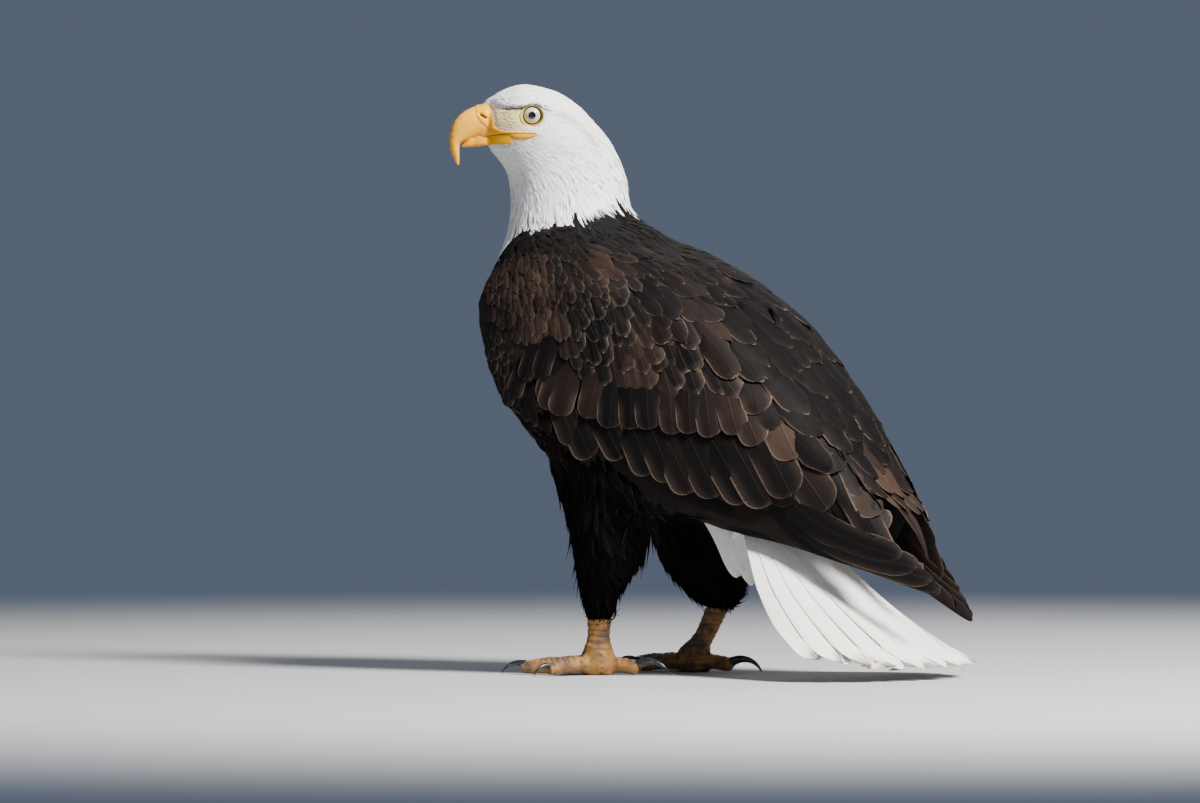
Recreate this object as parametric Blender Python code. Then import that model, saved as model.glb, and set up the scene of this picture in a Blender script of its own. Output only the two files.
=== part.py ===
"""Bald eagle, life size, standing at rest with folded wings and its head turned to its left.

The frame is in metres with +Z up. The body faces -X and the bird's left side is towards -Y. The floor is
Z = 0, and the origin is under the middle of the bird's bounding box. The tail is laid on the floor.

Shapes are first worked out in a plain bird frame, whose Z axis runs up between the feet, and every point
is then moved by -ORIGIN.
"""

import math

import bmesh
import bpy
import numpy as np

# ---------------------------------------------------------------- driving dimensions, in metres and degrees
ORIGIN = np.array((0.0833, 0.0, 0.0))  # middle of the bounding box, from the point between the feet
GAP = 0.0006  # how far a cutter is grown, which leaves about 0.4 mm between neighbours

NECK_X = -0.078  # where the upright axis of the neck stands
HEAD_YAW = math.radians(30.0)  # the head is turned this far to the bird's left
YAW_FROM, YAW_TO = 0.395, 0.500  # heights between which the neck twists

# The outline of the feathered bird in its middle plane, from the bill's base to the tail's root:
# forward of the neck axis and up for the upper line, then for the lower line, and the half width.
BODY_STATIONS = np.array([
    (0.0769, 0.5480, 0.0800, 0.5080, 0.0165),  # base of the bill
    (0.0640, 0.5570, 0.0745, 0.5005, 0.0245),
    (0.0365, 0.5645, 0.0680, 0.4925, 0.0340),  # eyes
    (0.0080, 0.5590, 0.0625, 0.4840, 0.0385),
    (-0.0215, 0.5355, 0.0590, 0.4730, 0.0415),  # back of the head
    (-0.0420, 0.5020, 0.0575, 0.4585, 0.0445),
    (-0.0550, 0.4680, 0.0595, 0.4400, 0.0500),  # neck
    (-0.0650, 0.4400, 0.0650, 0.4180, 0.0590),  # end of the white feathers
    (-0.0900, 0.4270, 0.0830, 0.3680, 0.0800),
    (-0.1180, 0.4040, 0.0870, 0.3180, 0.0930),  # breast
    (-0.1500, 0.3730, 0.0700, 0.2680, 0.0970),
    (-0.1840, 0.3410, 0.0340, 0.2260, 0.0950),
    (-0.2160, 0.3090, -0.0160, 0.1900, 0.0880),
    (-0.2450, 0.2740, -0.0730, 0.1650, 0.0760),  # belly
    (-0.2680, 0.2410, -0.1300, 0.1500, 0.0610),
    (-0.2840, 0.2110, -0.1780, 0.1420, 0.0460),
    (-0.2930, 0.1860, -0.2160, 0.1400, 0.0320),  # root of the tail
])
HEAD_END, NECK_END, BODY_END = 4.3, 7.0, 16.0  # stations where the nodes part
PART_CUT = 0.02  # half the cut between them, in stations
BREADTH = 0.07  # how much wider than an ellipse the upper half of a body section is

# Bill: forward and height of the upper line, the lower edge, and the half width, base to tip.
UPPER_BILL = np.array([
    (0.0775, 0.5475, 0.0800, 0.5160, 0.0165),
    (0.0860, 0.5450, 0.0865, 0.5150, 0.0150),
    (0.0960, 0.5390, 0.0930, 0.5125, 0.0128),
    (0.1055, 0.5285, 0.0995, 0.5095, 0.0102),
    (0.1125, 0.5150, 0.1040, 0.5040, 0.0075),
    (0.1140, 0.5010, 0.1055, 0.4970, 0.0048),
    (0.1105, 0.4895, 0.1055, 0.4885, 0.0022),
])
LOWER_BILL = np.array([
    (0.0790, 0.5153, 0.0790, 0.5060, 0.0145),
    (0.0870, 0.5143, 0.0880, 0.5040, 0.0118),
    (0.0950, 0.5120, 0.0960, 0.5040, 0.0090),
    (0.1010, 0.5080, 0.1010, 0.5045, 0.0050),
])
EYE = np.array((0.0356, 0.0243, 0.5360))  # forward, aside, up
EYE_RADIUS = 0.0112
BROW = np.array((0.0440, 0.5430))  # the ridge over the eye: forward, up
BROW_RISE, SOCKET_SINK = 0.0022, 0.0028

# Left wing, shoulder to tip: its lower edge and its upper edge as x, distance aside, z.
WING_LOWER = np.array([
    (-0.1180, 0.072, 0.3980),
    (-0.1340, 0.094, 0.3520),
    (-0.1120, 0.103, 0.2900),
    (-0.0750, 0.104, 0.2370),
    (-0.0130, 0.100, 0.1880),
    (0.0743, 0.092, 0.1510),
    (0.1659, 0.077, 0.1390),
    (0.2591, 0.055, 0.1120),
    (0.3445, 0.033, 0.0810),
])
WING_UPPER = np.array([
    (-0.1000, 0.040, 0.4140),
    (-0.0500, 0.041, 0.4220),
    (0.0150, 0.030, 0.4120),
    (0.0680, 0.018, 0.3870),
    (0.1260, 0.011, 0.3470),
    (0.1780, 0.008, 0.2930),
    (0.2340, 0.008, 0.2280),
    (0.2920, 0.012, 0.1580),
    (0.3400, 0.024, 0.0880),
])
WING_BULGE = 0.010  # how far the middle of the wing stands out
WING_SQUARENESS = 0.66  # below 1 the wing's section is boxier than an ellipse
WING_DEPTH, WING_RIM = 0.034, 0.004  # how thick it is over the trunk before it is cut, and at its edges
WRIST_RIM = 0.016  # and at its leading edge, which sinks into the breast
BLADE_DEPTH = 0.009  # how thick the flight feathers are behind the trunk
WING_ROWS, WING_COLUMNS = 19, 9
PRIMARY_ROW = 15  # the row where the tip of the primaries begins
RIGHT_TIP_DROP = 0.028  # the right wing's tip hangs this much lower
RIGHT_LIFT = (0.015, 0.014)  # and its rear half stands looser: this much back and up

# Tail: a fan of stiff feathers that slopes down on both sides like a low roof and reaches the floor.
# For the middle feathers and for the outermost ones: x, distance aside and height of the root and the tip.
TAIL_ROOTS = np.array(((0.1120, 0.000, 0.1890), (0.0880, 0.044, 0.1620)))
TAIL_TIPS = np.array(((0.3360, 0.000, 0.0000), (0.2460, 0.138, 0.0120)))
TAIL_SAG = 0.012  # how far the feathers bow down between root and tip
TAIL_DEPTHS = (0.030, 0.0032)  # thickness at the root, with its coverts, and at the tip
TAIL_SCALLOP = 0.007  # depth of the notches between the ends of the feathers
TAIL_FEATHERS = 12
TAIL_ROWS, TAIL_COLUMNS = 9, 2 * TAIL_FEATHERS + 1

# Legs: x, distance aside and height of the middle, half length, half width, hip to heel.
LEFT_THIGH = np.array([
    (-0.0200, 0.050, 0.245, 0.056, 0.034),
    (-0.0120, 0.056, 0.195, 0.055, 0.037),
    (-0.0010, 0.059, 0.148, 0.046, 0.036),
    (-0.0030, 0.060, 0.108, 0.035, 0.031),
    (-0.0130, 0.058, 0.074, 0.0185, 0.0180),
    (-0.0140, 0.057, 0.054, 0.0140, 0.0145),
])
RIGHT_THIGH = np.array([
    (0.0080, 0.050, 0.245, 0.056, 0.034),
    (0.0200, 0.056, 0.195, 0.055, 0.037),
    (0.0290, 0.060, 0.148, 0.051, 0.038),
    (0.0370, 0.060, 0.108, 0.046, 0.036),
    (0.0490, 0.060, 0.080, 0.033, 0.028),
    (0.0540, 0.060, 0.064, 0.019, 0.019),
])
LEFT_FOOT, RIGHT_FOOT = (-0.0160, 0.056), (0.0290, 0.058)  # x and distance aside
FOOT_YAWS = {"left": 24.0, "right": -4.0}  # how far each foot turns to the bird's left
SHANK_RADIUS = 0.0108
BALL = ((0.022, 0.0150, 0.0140), (0.010, 0.0195, 0.0175), (0.0, 0.0150, 0.0130))  # height, half length, width
# Toe: its angle from straight ahead (towards the outside), its length, its claw's length and thickness.
TOES = {
    "inner": (-38.0, 0.054, 0.036, 0.0050),
    "middle": (0.0, 0.074, 0.033, 0.0046),
    "outer": (40.0, 0.058, 0.029, 0.0042),
    "hind": (172.0, 0.040, 0.042, 0.0056),
}
TOE_RADIUS = 0.0088
CLAW_SLOPES = (math.radians(38), math.radians(-66))  # of the claw's middle line, at its base and at its tip
CLAW_TIP = 0.0008  # height of that line at the tip
TOE_JOINTS = {"inner": 2, "middle": 3, "outer": 4, "hind": 1}

COLOURS = {
    "white": ((0.86, 0.85, 0.82), 0.75),
    "brown": ((0.045, 0.030, 0.022), 0.70),
    "black": ((0.016, 0.013, 0.012), 0.75),
    "bill": ((0.86, 0.52, 0.07), 0.40),
    "shank": ((0.72, 0.42, 0.08), 0.55),
    "claw": ((0.02, 0.02, 0.022), 0.30),
    "eye": ((0.62, 0.58, 0.40), 0.08),
}


# ---------------------------------------------------------------- curves and places
def spline(points: np.ndarray, at: np.ndarray) -> np.ndarray:
    """The smooth curve through the rows of points, read at the station numbers in at."""
    points = np.asarray(points, float)
    at = np.clip(np.asarray(at, float), 0, len(points) - 1)
    low = np.minimum(at.astype(int), len(points) - 2)
    share = (at - low)[:, None]
    slopes = np.gradient(points, axis=0)
    p, q, m, n = points[low], points[low + 1], slopes[low], slopes[low + 1]
    s2, s3 = share**2, share**3
    return (
        (2 * s3 - 3 * s2 + 1) * p + (s3 - 2 * s2 + share) * m + (3 * s2 - 2 * s3) * q + (s3 - s2) * n
    )


def smooth_step(low: float, high: float, value: np.ndarray) -> np.ndarray:
    """0 below low, 1 above high, and a smooth rise between them."""
    share = np.clip((np.asarray(value, float) - low) / (high - low), 0, 1)
    return share * share * (3 - 2 * share)


def along_neck(forward, aside, up) -> np.ndarray:
    """Points given ahead of the neck axis, to the bird's left and up, with the neck's twist put on."""
    yaw = HEAD_YAW * smooth_step(YAW_FROM, YAW_TO, up)
    x = NECK_X - forward * np.cos(yaw) + aside * np.sin(yaw)
    y = -forward * np.sin(yaw) - aside * np.cos(yaw)
    return np.stack([x, y, up + 0 * x], axis=-1)


# ---------------------------------------------------------------- objects
def material(name: str) -> bpy.types.Material:
    """The plain finish of that name, made once."""
    if name in bpy.data.materials:
        return bpy.data.materials[name]
    made = bpy.data.materials.new(name)
    made.use_nodes = True
    colour, roughness = COLOURS[name]
    shader = made.node_tree.nodes["Principled BSDF"]
    shader.inputs["Base Color"].default_value = (*colour, 1.0)
    shader.inputs["Roughness"].default_value = roughness
    made.diffuse_color = (*colour, 1.0)
    return made


def add_solid(name: str, points: np.ndarray, faces: list, finish: str) -> bpy.types.Object:
    """A closed mesh object from points in the bird frame."""
    mesh = bpy.data.meshes.new(name)
    mesh.from_pydata((np.asarray(points) - ORIGIN).tolist(), [], faces)
    shell = bmesh.new()
    shell.from_mesh(mesh)
    bmesh.ops.remove_doubles(shell, verts=shell.verts, dist=1e-5)
    bmesh.ops.recalc_face_normals(shell, faces=shell.faces)
    shell.to_mesh(mesh)
    shell.free()
    mesh.materials.append(material(finish))
    mesh.shade_smooth()
    mesh.set_sharp_from_angle(angle=math.radians(50))
    solid = bpy.data.objects.new(name, mesh)
    bpy.context.scene.collection.objects.link(solid)
    return solid


def loft(name: str, rings: np.ndarray, finish: str) -> bpy.types.Object:
    """A tube through rings of equally many points, with its two ends closed."""
    count, around, _ = rings.shape
    faces = [
        (r * around + i, r * around + (i + 1) % around, (r + 1) * around + (i + 1) % around, (r + 1) * around + i)
        for r in range(count - 1)
        for i in range(around)
    ]
    faces.append(tuple(range(around)))
    faces.append(tuple((count - 1) * around + i for i in reversed(range(around))))
    return add_solid(name, rings.reshape(-1, 3), faces, finish)


def plate(name: str, outer: np.ndarray, inner: np.ndarray, finish: str) -> bpy.types.Object:
    """A curved slab between two grids of points, with its rim closed."""
    rows, columns, _ = outer.shape

    def at(side: int, row: int, column: int) -> int:
        return side * rows * columns + row * columns + column

    faces = []
    for row in range(rows - 1):
        for column in range(columns - 1):
            for side in (0, 1):
                quad = [at(side, row, column), at(side, row, column + 1)]
                quad += [at(side, row + 1, column + 1), at(side, row + 1, column)]
                faces.append(tuple(quad if side else reversed(quad)))
    rim = [(0, c) for c in range(columns)] + [(r, columns - 1) for r in range(1, rows)]
    rim += [(rows - 1, c) for c in reversed(range(columns - 1))] + [(r, 0) for r in reversed(range(1, rows - 1))]
    for here, there in zip(rim, rim[1:] + rim[:1]):
        faces.append((at(0, *here), at(0, *there), at(1, *there), at(1, *here)))
    points = np.concatenate([outer.reshape(-1, 3), inner.reshape(-1, 3)])
    return add_solid(name, points, faces, finish)


def grown(solid: bpy.types.Object, by: float) -> bpy.types.Object:
    """A hidden copy of a solid whose surface is moved out, used as a cutter."""
    cutter = bpy.data.objects.new(solid.name + "_cutter", solid.data.copy())
    bpy.context.scene.collection.objects.link(cutter)
    shell = bmesh.new()
    shell.from_mesh(cutter.data)
    bmesh.ops.triangulate(shell, faces=shell.faces)
    shell.normal_update()
    moves = [v.normal * by for v in shell.verts]
    for vertex, move in zip(shell.verts, moves):
        vertex.co += move
    shell.to_mesh(cutter.data)
    shell.free()
    cutter.hide_render = True
    cutter.display_type = "WIRE"
    return cutter


def carve(solid: bpy.types.Object, *neighbours: bpy.types.Object, folded: bool = False) -> bpy.types.Object:
    """Cuts the neighbours' shapes, a little grown, out of a solid, and keeps its largest piece.

    folded is for a slab whose inner surface may fold through itself.
    """
    for neighbour in neighbours:
        cutter = grown(neighbour, GAP)
        cut = solid.modifiers.new("cut", "BOOLEAN")
        cut.operation, cut.object, cut.solver = "DIFFERENCE", cutter, "EXACT"
        cut.use_self = folded
        graph = bpy.context.evaluated_depsgraph_get()
        carved = bpy.data.meshes.new_from_object(solid.evaluated_get(graph))
        solid.modifiers.clear()
        solid.data = carved
        bpy.data.objects.remove(cutter)
    keep_largest(solid)
    return solid


def keep_largest(solid: bpy.types.Object) -> None:
    """Drops the crumbs that a cut leaves beside the main piece."""
    shell = bmesh.new()
    shell.from_mesh(solid.data)
    bmesh.ops.remove_doubles(shell, verts=shell.verts, dist=2e-5)
    unseen = set(shell.verts)
    pieces = []
    while unseen:
        piece, front = set(), [unseen.pop()]
        while front:
            vertex = front.pop()
            piece.add(vertex)
            for edge in vertex.link_edges:
                other = edge.other_vert(vertex)
                if other in unseen:
                    unseen.remove(other)
                    front.append(other)
        pieces.append(piece)
    largest = max(pieces, key=len)
    crumbs = [v for v in shell.verts if v not in largest]
    bmesh.ops.delete(shell, geom=crumbs, context="VERTS")
    bmesh.ops.triangulate(shell, faces=shell.faces)
    shell.to_mesh(solid.data)
    shell.free()


# ---------------------------------------------------------------- head, neck and trunk
def body_rings(first: float, last: float, rings: int, around: int) -> np.ndarray:
    """Sections of the body between two stations."""
    stations = spline(BODY_STATIONS, np.linspace(first, last, rings))
    top, low, half_width = stations[:, None, 0:2], stations[:, None, 2:4], stations[:, None, 4]
    turn = np.linspace(0, 2 * math.pi, around, endpoint=False)[None, :]
    middle, arm = (top + low) / 2, (top - low) / 2
    outline = middle + arm * np.sin(turn)[..., None]
    aside = half_width * np.cos(turn) * (1 + BREADTH * np.sin(turn))
    forward, up = outline[..., 0], outline[..., 1]
    side = np.abs(np.cos(turn)) ** 2 * smooth_step(0.060, 0.045, np.abs(forward - EYE[0]))
    brow = np.exp(-(((up - BROW[1]) / 0.0045) ** 2) - ((forward - BROW[0]) / 0.017) ** 4)
    socket = np.exp(-(((up - EYE[2] + 0.001) / 0.0095) ** 2) - ((forward - EYE[0]) / 0.0125) ** 2)
    aside = aside + np.sign(np.cos(turn)) * side * (BROW_RISE * brow - SOCKET_SINK * socket)
    return along_neck(forward, aside, up)


def build_body() -> dict:
    """The head, neck and trunk, parted by thin cuts."""
    spans = {
        "head": (0, HEAD_END - PART_CUT, 15, 24, "white"),
        "neck": (HEAD_END + PART_CUT, NECK_END - PART_CUT, 7, 22, "white"),
        "trunk": (NECK_END + PART_CUT, BODY_END, 18, 22, "black"),
    }
    return {
        name: loft(name, body_rings(first, last, rings, around), finish)
        for name, (first, last, rings, around, finish) in spans.items()
    }


def bill_rings(stations: np.ndarray, rings: int, around: int, squareness: float) -> np.ndarray:
    """Sections of half a bill, from its base to its tip."""
    rows = spline(stations, np.linspace(0, len(stations) - 1, rings))
    top, low, half_width = rows[:, None, 0:2], rows[:, None, 2:4], rows[:, None, 4]
    turn = np.linspace(0, 2 * math.pi, around, endpoint=False)[None, :]
    outline = (top + low) / 2 + (top - low) / 2 * np.sin(turn)[..., None]
    aside = half_width * np.sign(np.cos(turn)) * np.abs(np.cos(turn)) ** squareness
    return along_neck(outline[..., 0], aside, outline[..., 1])


def ball_at(name: str, centre: np.ndarray, radius: float, finish: str) -> bpy.types.Object:
    """A round ball."""
    turns = np.linspace(0, 2 * math.pi, 14, endpoint=False)
    tilts = np.linspace(-math.pi / 2, math.pi / 2, 9)[1:-1]
    rings = np.array([
        [(math.cos(v) * math.cos(u), math.cos(v) * math.sin(u), math.sin(v)) for u in turns] for v in tilts
    ])
    return loft(name, centre + radius * rings, finish)


def build_head_parts(head: bpy.types.Object) -> None:
    """The two halves of the bill and the eyes, which sit in sockets cut in the head."""
    upper = loft("bill_upper", bill_rings(UPPER_BILL, 14, 16, 0.75), "bill")
    lower = loft("bill_lower", bill_rings(LOWER_BILL, 7, 12, 0.75), "bill")
    eyes = []
    for side, sign in (("left", 1), ("right", -1)):
        centre = along_neck(EYE[0], sign * EYE[1], EYE[2])
        eyes.append(ball_at("eye_" + side, centre, EYE_RADIUS, "eye"))
    carve(head, *eyes)
    carve(upper, head)
    carve(lower, head, upper)


# ---------------------------------------------------------------- wings
def wing_grids(side: int) -> tuple:
    """The outer and inner surfaces of a folded wing. side is -1 for the left wing and 1 for the right."""
    stations = np.linspace(0, len(WING_LOWER) - 1, WING_ROWS)
    lower, upper = spline(WING_LOWER, stations)[:, None], spline(WING_UPPER, stations)[:, None]
    along = np.linspace(0, 1, WING_ROWS)[:, None]
    across = np.linspace(0, 1, WING_COLUMNS)[None, :]
    turn = across * math.pi / 2
    rise = np.sin(turn) ** WING_SQUARENESS
    reach = np.abs(np.cos(turn)) ** WING_SQUARENESS
    bulge = WING_BULGE * np.sin(math.pi * across) * (1 - along**2)
    x = lower[..., 0] + (upper[..., 0] - lower[..., 0]) * rise
    z = lower[..., 2] + (upper[..., 2] - lower[..., 2]) * rise
    y = upper[..., 1] + (lower[..., 1] - upper[..., 1]) * reach + bulge
    if side > 0:
        loose = np.sin(math.pi * along**1.3) ** 2
        x = x + RIGHT_LIFT[0] * loose
        z = z + RIGHT_LIFT[1] * loose - RIGHT_TIP_DROP * along**3
    outer = np.stack([x, y, z], axis=-1)
    normal = np.cross(np.gradient(outer, axis=0), np.gradient(outer, axis=1))
    normal /= np.linalg.norm(normal, axis=-1, keepdims=True)
    normal *= np.sign(normal[WING_ROWS // 2, WING_COLUMNS // 2, 1])
    past_trunk = smooth_step(0.60, 0.80, along)
    deep = WING_DEPTH + (BLADE_DEPTH - WING_DEPTH) * past_trunk
    leading = (1 - smooth_step(0.20, 0.45, along)) * (1 - across)
    rim = WING_RIM + (WRIST_RIM - WING_RIM) * leading
    depth = rim + (deep - rim) * np.sin(math.pi * across) ** 0.7
    depth = depth * (1 - 0.55 * along**4)
    inner = outer - normal * depth[..., None]
    for grid in (outer, inner):
        grid[..., 1] = np.maximum(grid[..., 1], 0.0015) * side
    return outer, inner


def build_wings(trunk: bpy.types.Object, neck: bpy.types.Object, tail: bpy.types.Object) -> list:
    """Both folded wings, each with the tip of its primaries as a piece of its own."""
    made = []
    for name, side in (("left", -1), ("right", 1)):
        outer, inner = wing_grids(side)
        seam = 0.0002 * np.array((1.0, 0.0, -0.55))
        front, back = slice(0, PRIMARY_ROW + 1), slice(PRIMARY_ROW, WING_ROWS)
        tip_outer, tip_inner = outer[back].copy(), inner[back].copy()
        tip_outer[0] += 2 * seam
        tip_inner[0] += 2 * seam
        wing = plate("wing_" + name, outer[front], inner[front], "brown")
        carve(wing, trunk, neck, tail, folded=True)
        tip = plate("primaries_" + name, tip_outer, tip_inner, "brown")
        carve(tip, wing, tail)
        made += [wing, tip]
    return made


# ---------------------------------------------------------------- tail
def build_tail(trunk: bpy.types.Object) -> bpy.types.Object:
    """The fan of the tail, with scalloped ends, cut where the trunk begins."""
    across = np.linspace(-1, 1, TAIL_COLUMNS)[None, :, None]
    along = np.linspace(0, 1, TAIL_ROWS)[:, None, None]
    outward = np.sin(np.abs(across) * math.pi / 2)  # the tips lie on a round curve
    forward = 1 - np.cos(across * math.pi / 2)
    mirror = np.array((1.0, 0.0, 1.0))
    ends = []
    for middle, outer in (TAIL_ROOTS, TAIL_TIPS):
        step = outer - middle
        aside = -np.sign(across) * outward * step[1] * np.array((0.0, 1.0, 0.0))
        ends.append(middle + forward * step * mirror + aside)
    root, tip = ends
    scallop = TAIL_SCALLOP * (1 - np.abs(np.sin(across * math.pi * TAIL_FEATHERS / 2)) ** 0.6)
    length = np.linalg.norm(tip - root, axis=-1, keepdims=True)
    share = along * (1 - scallop * along**6 / length)
    middle_sheet = root + (tip - root) * share
    middle_sheet[..., 2:] -= TAIL_SAG * np.sin(math.pi * share)
    across_step, along_step = np.gradient(middle_sheet, axis=1), np.gradient(middle_sheet, axis=0)
    normal = np.cross(across_step, along_step)
    normal /= np.linalg.norm(normal, axis=-1, keepdims=True)
    root_depth, tip_depth = TAIL_DEPTHS
    depth = tip_depth + (root_depth - tip_depth) * np.exp(-((along / 0.36) ** 2)) * (1 - 0.75 * across**2)
    upper, under = middle_sheet + normal * depth / 2, middle_sheet - normal * depth / 2
    upper[..., 2] = np.maximum(upper[..., 2], tip_depth * 0.6)
    under[..., 2] = np.maximum(under[..., 2], 0.0)
    tail = plate("tail", upper, under, "white")
    return carve(tail, trunk)


# ---------------------------------------------------------------- legs
def ellipse_rings(stations: np.ndarray, side: int, rings: int, around: int) -> np.ndarray:
    """Level sections of a leg from its stations."""
    rows = spline(stations, np.linspace(0, len(stations) - 1, rings))[:, None]
    turn = np.linspace(0, 2 * math.pi, around, endpoint=False)[None, :]
    x = rows[..., 0] + rows[..., 3] * np.cos(turn)
    y = rows[..., 1] * side + rows[..., 4] * np.sin(turn)
    return np.stack([x, y, rows[..., 2] + 0 * x], axis=-1)


def tube_rings(path: np.ndarray, radii: np.ndarray, around: int) -> np.ndarray:
    """Round sections square to a path that doesn't run straight up."""
    ahead = np.gradient(path, axis=0)
    ahead /= np.linalg.norm(ahead, axis=1, keepdims=True)
    aside = np.cross(ahead, (0, 0, 1))
    aside /= np.linalg.norm(aside, axis=1, keepdims=True)
    up = np.cross(aside, ahead)
    turn = np.linspace(0, 2 * math.pi, around, endpoint=False)[None, :, None]
    return path[:, None] + radii[:, None, None] * (np.cos(turn) * aside[:, None] + np.sin(turn) * up[:, None])


def toe_line(foot: np.ndarray, heading: float, length: float, joints: int) -> tuple:
    """The path of a toe along the floor, arched a little, and its radii with a swelling at each joint."""
    share = np.linspace(0, 1, 9)
    direction = np.array((-math.cos(heading), -math.sin(heading), 0))
    height = 0.0086 - 0.0030 * share + 0.0025 * np.sin(math.pi * share)
    path = np.array((*foot, 0.0)) + share[:, None] * length * direction + height[:, None] * (0, 0, 1)
    radii = TOE_RADIUS * (1 - 0.22 * share) * (1 + 0.07 * np.cos(2 * math.pi * joints * share))
    radii[-1] *= 0.62
    return path, radii


def claw_line(base: np.ndarray, heading: float, length: float, thickness: float) -> tuple:
    """The path of a hooked claw, from inside the toe's end, up and over and down to the floor, and its radii."""
    share = np.linspace(0, 1, 8)
    slope = CLAW_SLOPES[0] + (CLAW_SLOPES[1] - CLAW_SLOPES[0]) * share
    step = length * np.diff(share)
    middle = (slope[1:] + slope[:-1]) / 2
    reach = np.append(0, np.cumsum(np.cos(middle) * step))
    height = np.append(0, np.cumsum(np.sin(middle) * step)) + base[2]
    height += share * (CLAW_TIP - height[-1])
    direction = np.array((-math.cos(heading), -math.sin(heading), 0))
    path = base + reach[:, None] * direction
    path[:, 2] = height
    return path, thickness * (1 - 0.87 * share**1.15)


def on_floor(rings: np.ndarray) -> np.ndarray:
    """The rings with what would reach below the floor flattened onto it."""
    rings[..., 2] = np.maximum(rings[..., 2], 0.0)
    return rings


def build_leg(name: str, side: int, thigh_stations: np.ndarray, foot: tuple, covers: list) -> None:
    """One leg: the feathered thigh, the shank with the ball of the foot, four toes and their claws."""
    thigh = loft("thigh_" + name, ellipse_rings(thigh_stations, side, 11, 14), "black")
    carve(thigh, *covers)
    heel = thigh_stations[-1]
    ankle = (heel[0], heel[1], heel[2] - 0.0004, SHANK_RADIUS * 1.1, SHANK_RADIUS)
    shin = (*(0.45 * np.array(ankle[:2]) + 0.55 * np.array(foot)), 0.036, SHANK_RADIUS, SHANK_RADIUS * 0.9)
    ball = [(*foot, height, half_length, half_width) for height, half_length, half_width in BALL]
    shank_stations = np.array([ankle, shin, *ball])
    shank = loft("shank_" + name, on_floor(ellipse_rings(shank_stations, side, 10, 12)), "shank")
    built = [shank]
    for toe_name in ("middle", "inner", "outer", "hind"):
        angle, length, claw_length, thickness = TOES[toe_name]
        heading = math.radians(FOOT_YAWS[name] - side * angle)
        centre = np.array((foot[0], foot[1] * side))
        path, radii = toe_line(centre, heading, length, TOE_JOINTS[toe_name])
        toe = loft(f"toe_{name}_{toe_name}", on_floor(tube_rings(path, radii, 8)), "shank")
        carve(toe, *built)
        built.append(toe)
        path, radii = claw_line(path[-2], heading, claw_length, thickness)
        claw = loft(f"claw_{name}_{toe_name}", on_floor(tube_rings(path, radii, 7)), "claw")
        carve(claw, toe)


def main() -> None:
    """Clears the scene and builds the bird."""
    for old in list(bpy.data.objects):
        bpy.data.objects.remove(old)
    body = build_body()
    build_head_parts(body["head"])
    tail = build_tail(body["trunk"])
    wings = build_wings(body["trunk"], body["neck"], tail)
    covers = [body["trunk"], *wings]
    build_leg("left", -1, LEFT_THIGH, LEFT_FOOT, covers)
    build_leg("right", 1, RIGHT_THIGH, RIGHT_FOOT, covers)


main()
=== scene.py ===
"""Dresses the solids of a life-size bald eagle in skin, feathers, horn and scales.

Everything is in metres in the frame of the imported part: the floor is Z = 0, the body faces -X and the bird's
left side is towards -Y. One skin stands for the solids of flesh, and every feather is a thin closed mesh.
"""

import logging
import math
from collections.abc import Iterator
from contextlib import contextmanager
from dataclasses import dataclass, field
from enum import Enum

import bmesh
import bpy
import numpy as np
from mathutils import Matrix, Vector
from mathutils.bvhtree import BVHTree
from mathutils.geometry import convex_hull_2d
from mathutils.kdtree import KDTree


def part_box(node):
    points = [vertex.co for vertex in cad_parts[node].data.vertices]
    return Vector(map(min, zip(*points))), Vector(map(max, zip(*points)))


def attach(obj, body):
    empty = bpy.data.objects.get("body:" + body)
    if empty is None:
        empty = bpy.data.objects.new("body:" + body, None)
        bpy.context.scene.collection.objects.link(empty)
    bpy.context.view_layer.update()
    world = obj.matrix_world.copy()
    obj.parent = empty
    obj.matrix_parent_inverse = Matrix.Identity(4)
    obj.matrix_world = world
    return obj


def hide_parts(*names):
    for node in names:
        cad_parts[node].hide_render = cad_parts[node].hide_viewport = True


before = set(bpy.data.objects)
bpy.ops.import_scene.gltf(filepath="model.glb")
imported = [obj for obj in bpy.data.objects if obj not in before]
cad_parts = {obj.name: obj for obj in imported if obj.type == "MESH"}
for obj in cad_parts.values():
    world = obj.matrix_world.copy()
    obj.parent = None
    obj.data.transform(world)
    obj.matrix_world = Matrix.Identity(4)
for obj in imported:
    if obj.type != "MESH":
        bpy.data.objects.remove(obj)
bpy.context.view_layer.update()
LOG = logging.getLogger("eagle")

Array, Draw = np.ndarray, np.random.Generator
Thing, Mesh, Node, Socket = bpy.types.Object, bpy.types.Mesh, bpy.types.Node, bpy.types.NodeSocket
ROOT = "root"
MAP, VANE_MAP = "OFBake", "Vane"
PATCH = 0.003  # how wide a small feather's patch is on the skin's map
SEED = 7


# ---------------------------------------------------------------- small mathematics
def ramp(low: float, high: float, value: Array) -> Array:
    """A smooth rise from 0 at low to 1 at high, or a fall when low is the larger."""
    share = np.clip((np.asarray(value, float) - low) / (high - low), 0, 1)
    return share * share * (3 - 2 * share)


def hump(offset: Array, width: float) -> Array:
    """1 where the offset is 0, falling away smoothly over a width on both sides."""
    return np.exp(-((offset / width) ** 2))


def unit(vectors: Array) -> Array:
    """The vectors at length one."""
    return vectors / np.maximum(np.linalg.norm(vectors, axis=-1, keepdims=True), 1e-12)


def table(rows: tuple, at: Array) -> Array:
    """A table's second column, read between its rows at places in the first."""
    return np.interp(at, *np.array(rows).T)


def lengthwise(rows: int, ease: float = 0.9) -> Array:
    """The rows of a long feather from 0 at its root to 1 at its tip, closer together at the tip."""
    return np.sin(np.linspace(0, 1, rows) * math.pi / 2) ** ease


def rounded(along: Array, start: float, length: float, power: float) -> Array:
    """1 as far as start, then a round fall to a small share over a length."""
    return np.sqrt(np.clip(1 - (np.clip(along - start, 0, 1) / length) ** power, 0.01, 1))


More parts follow.
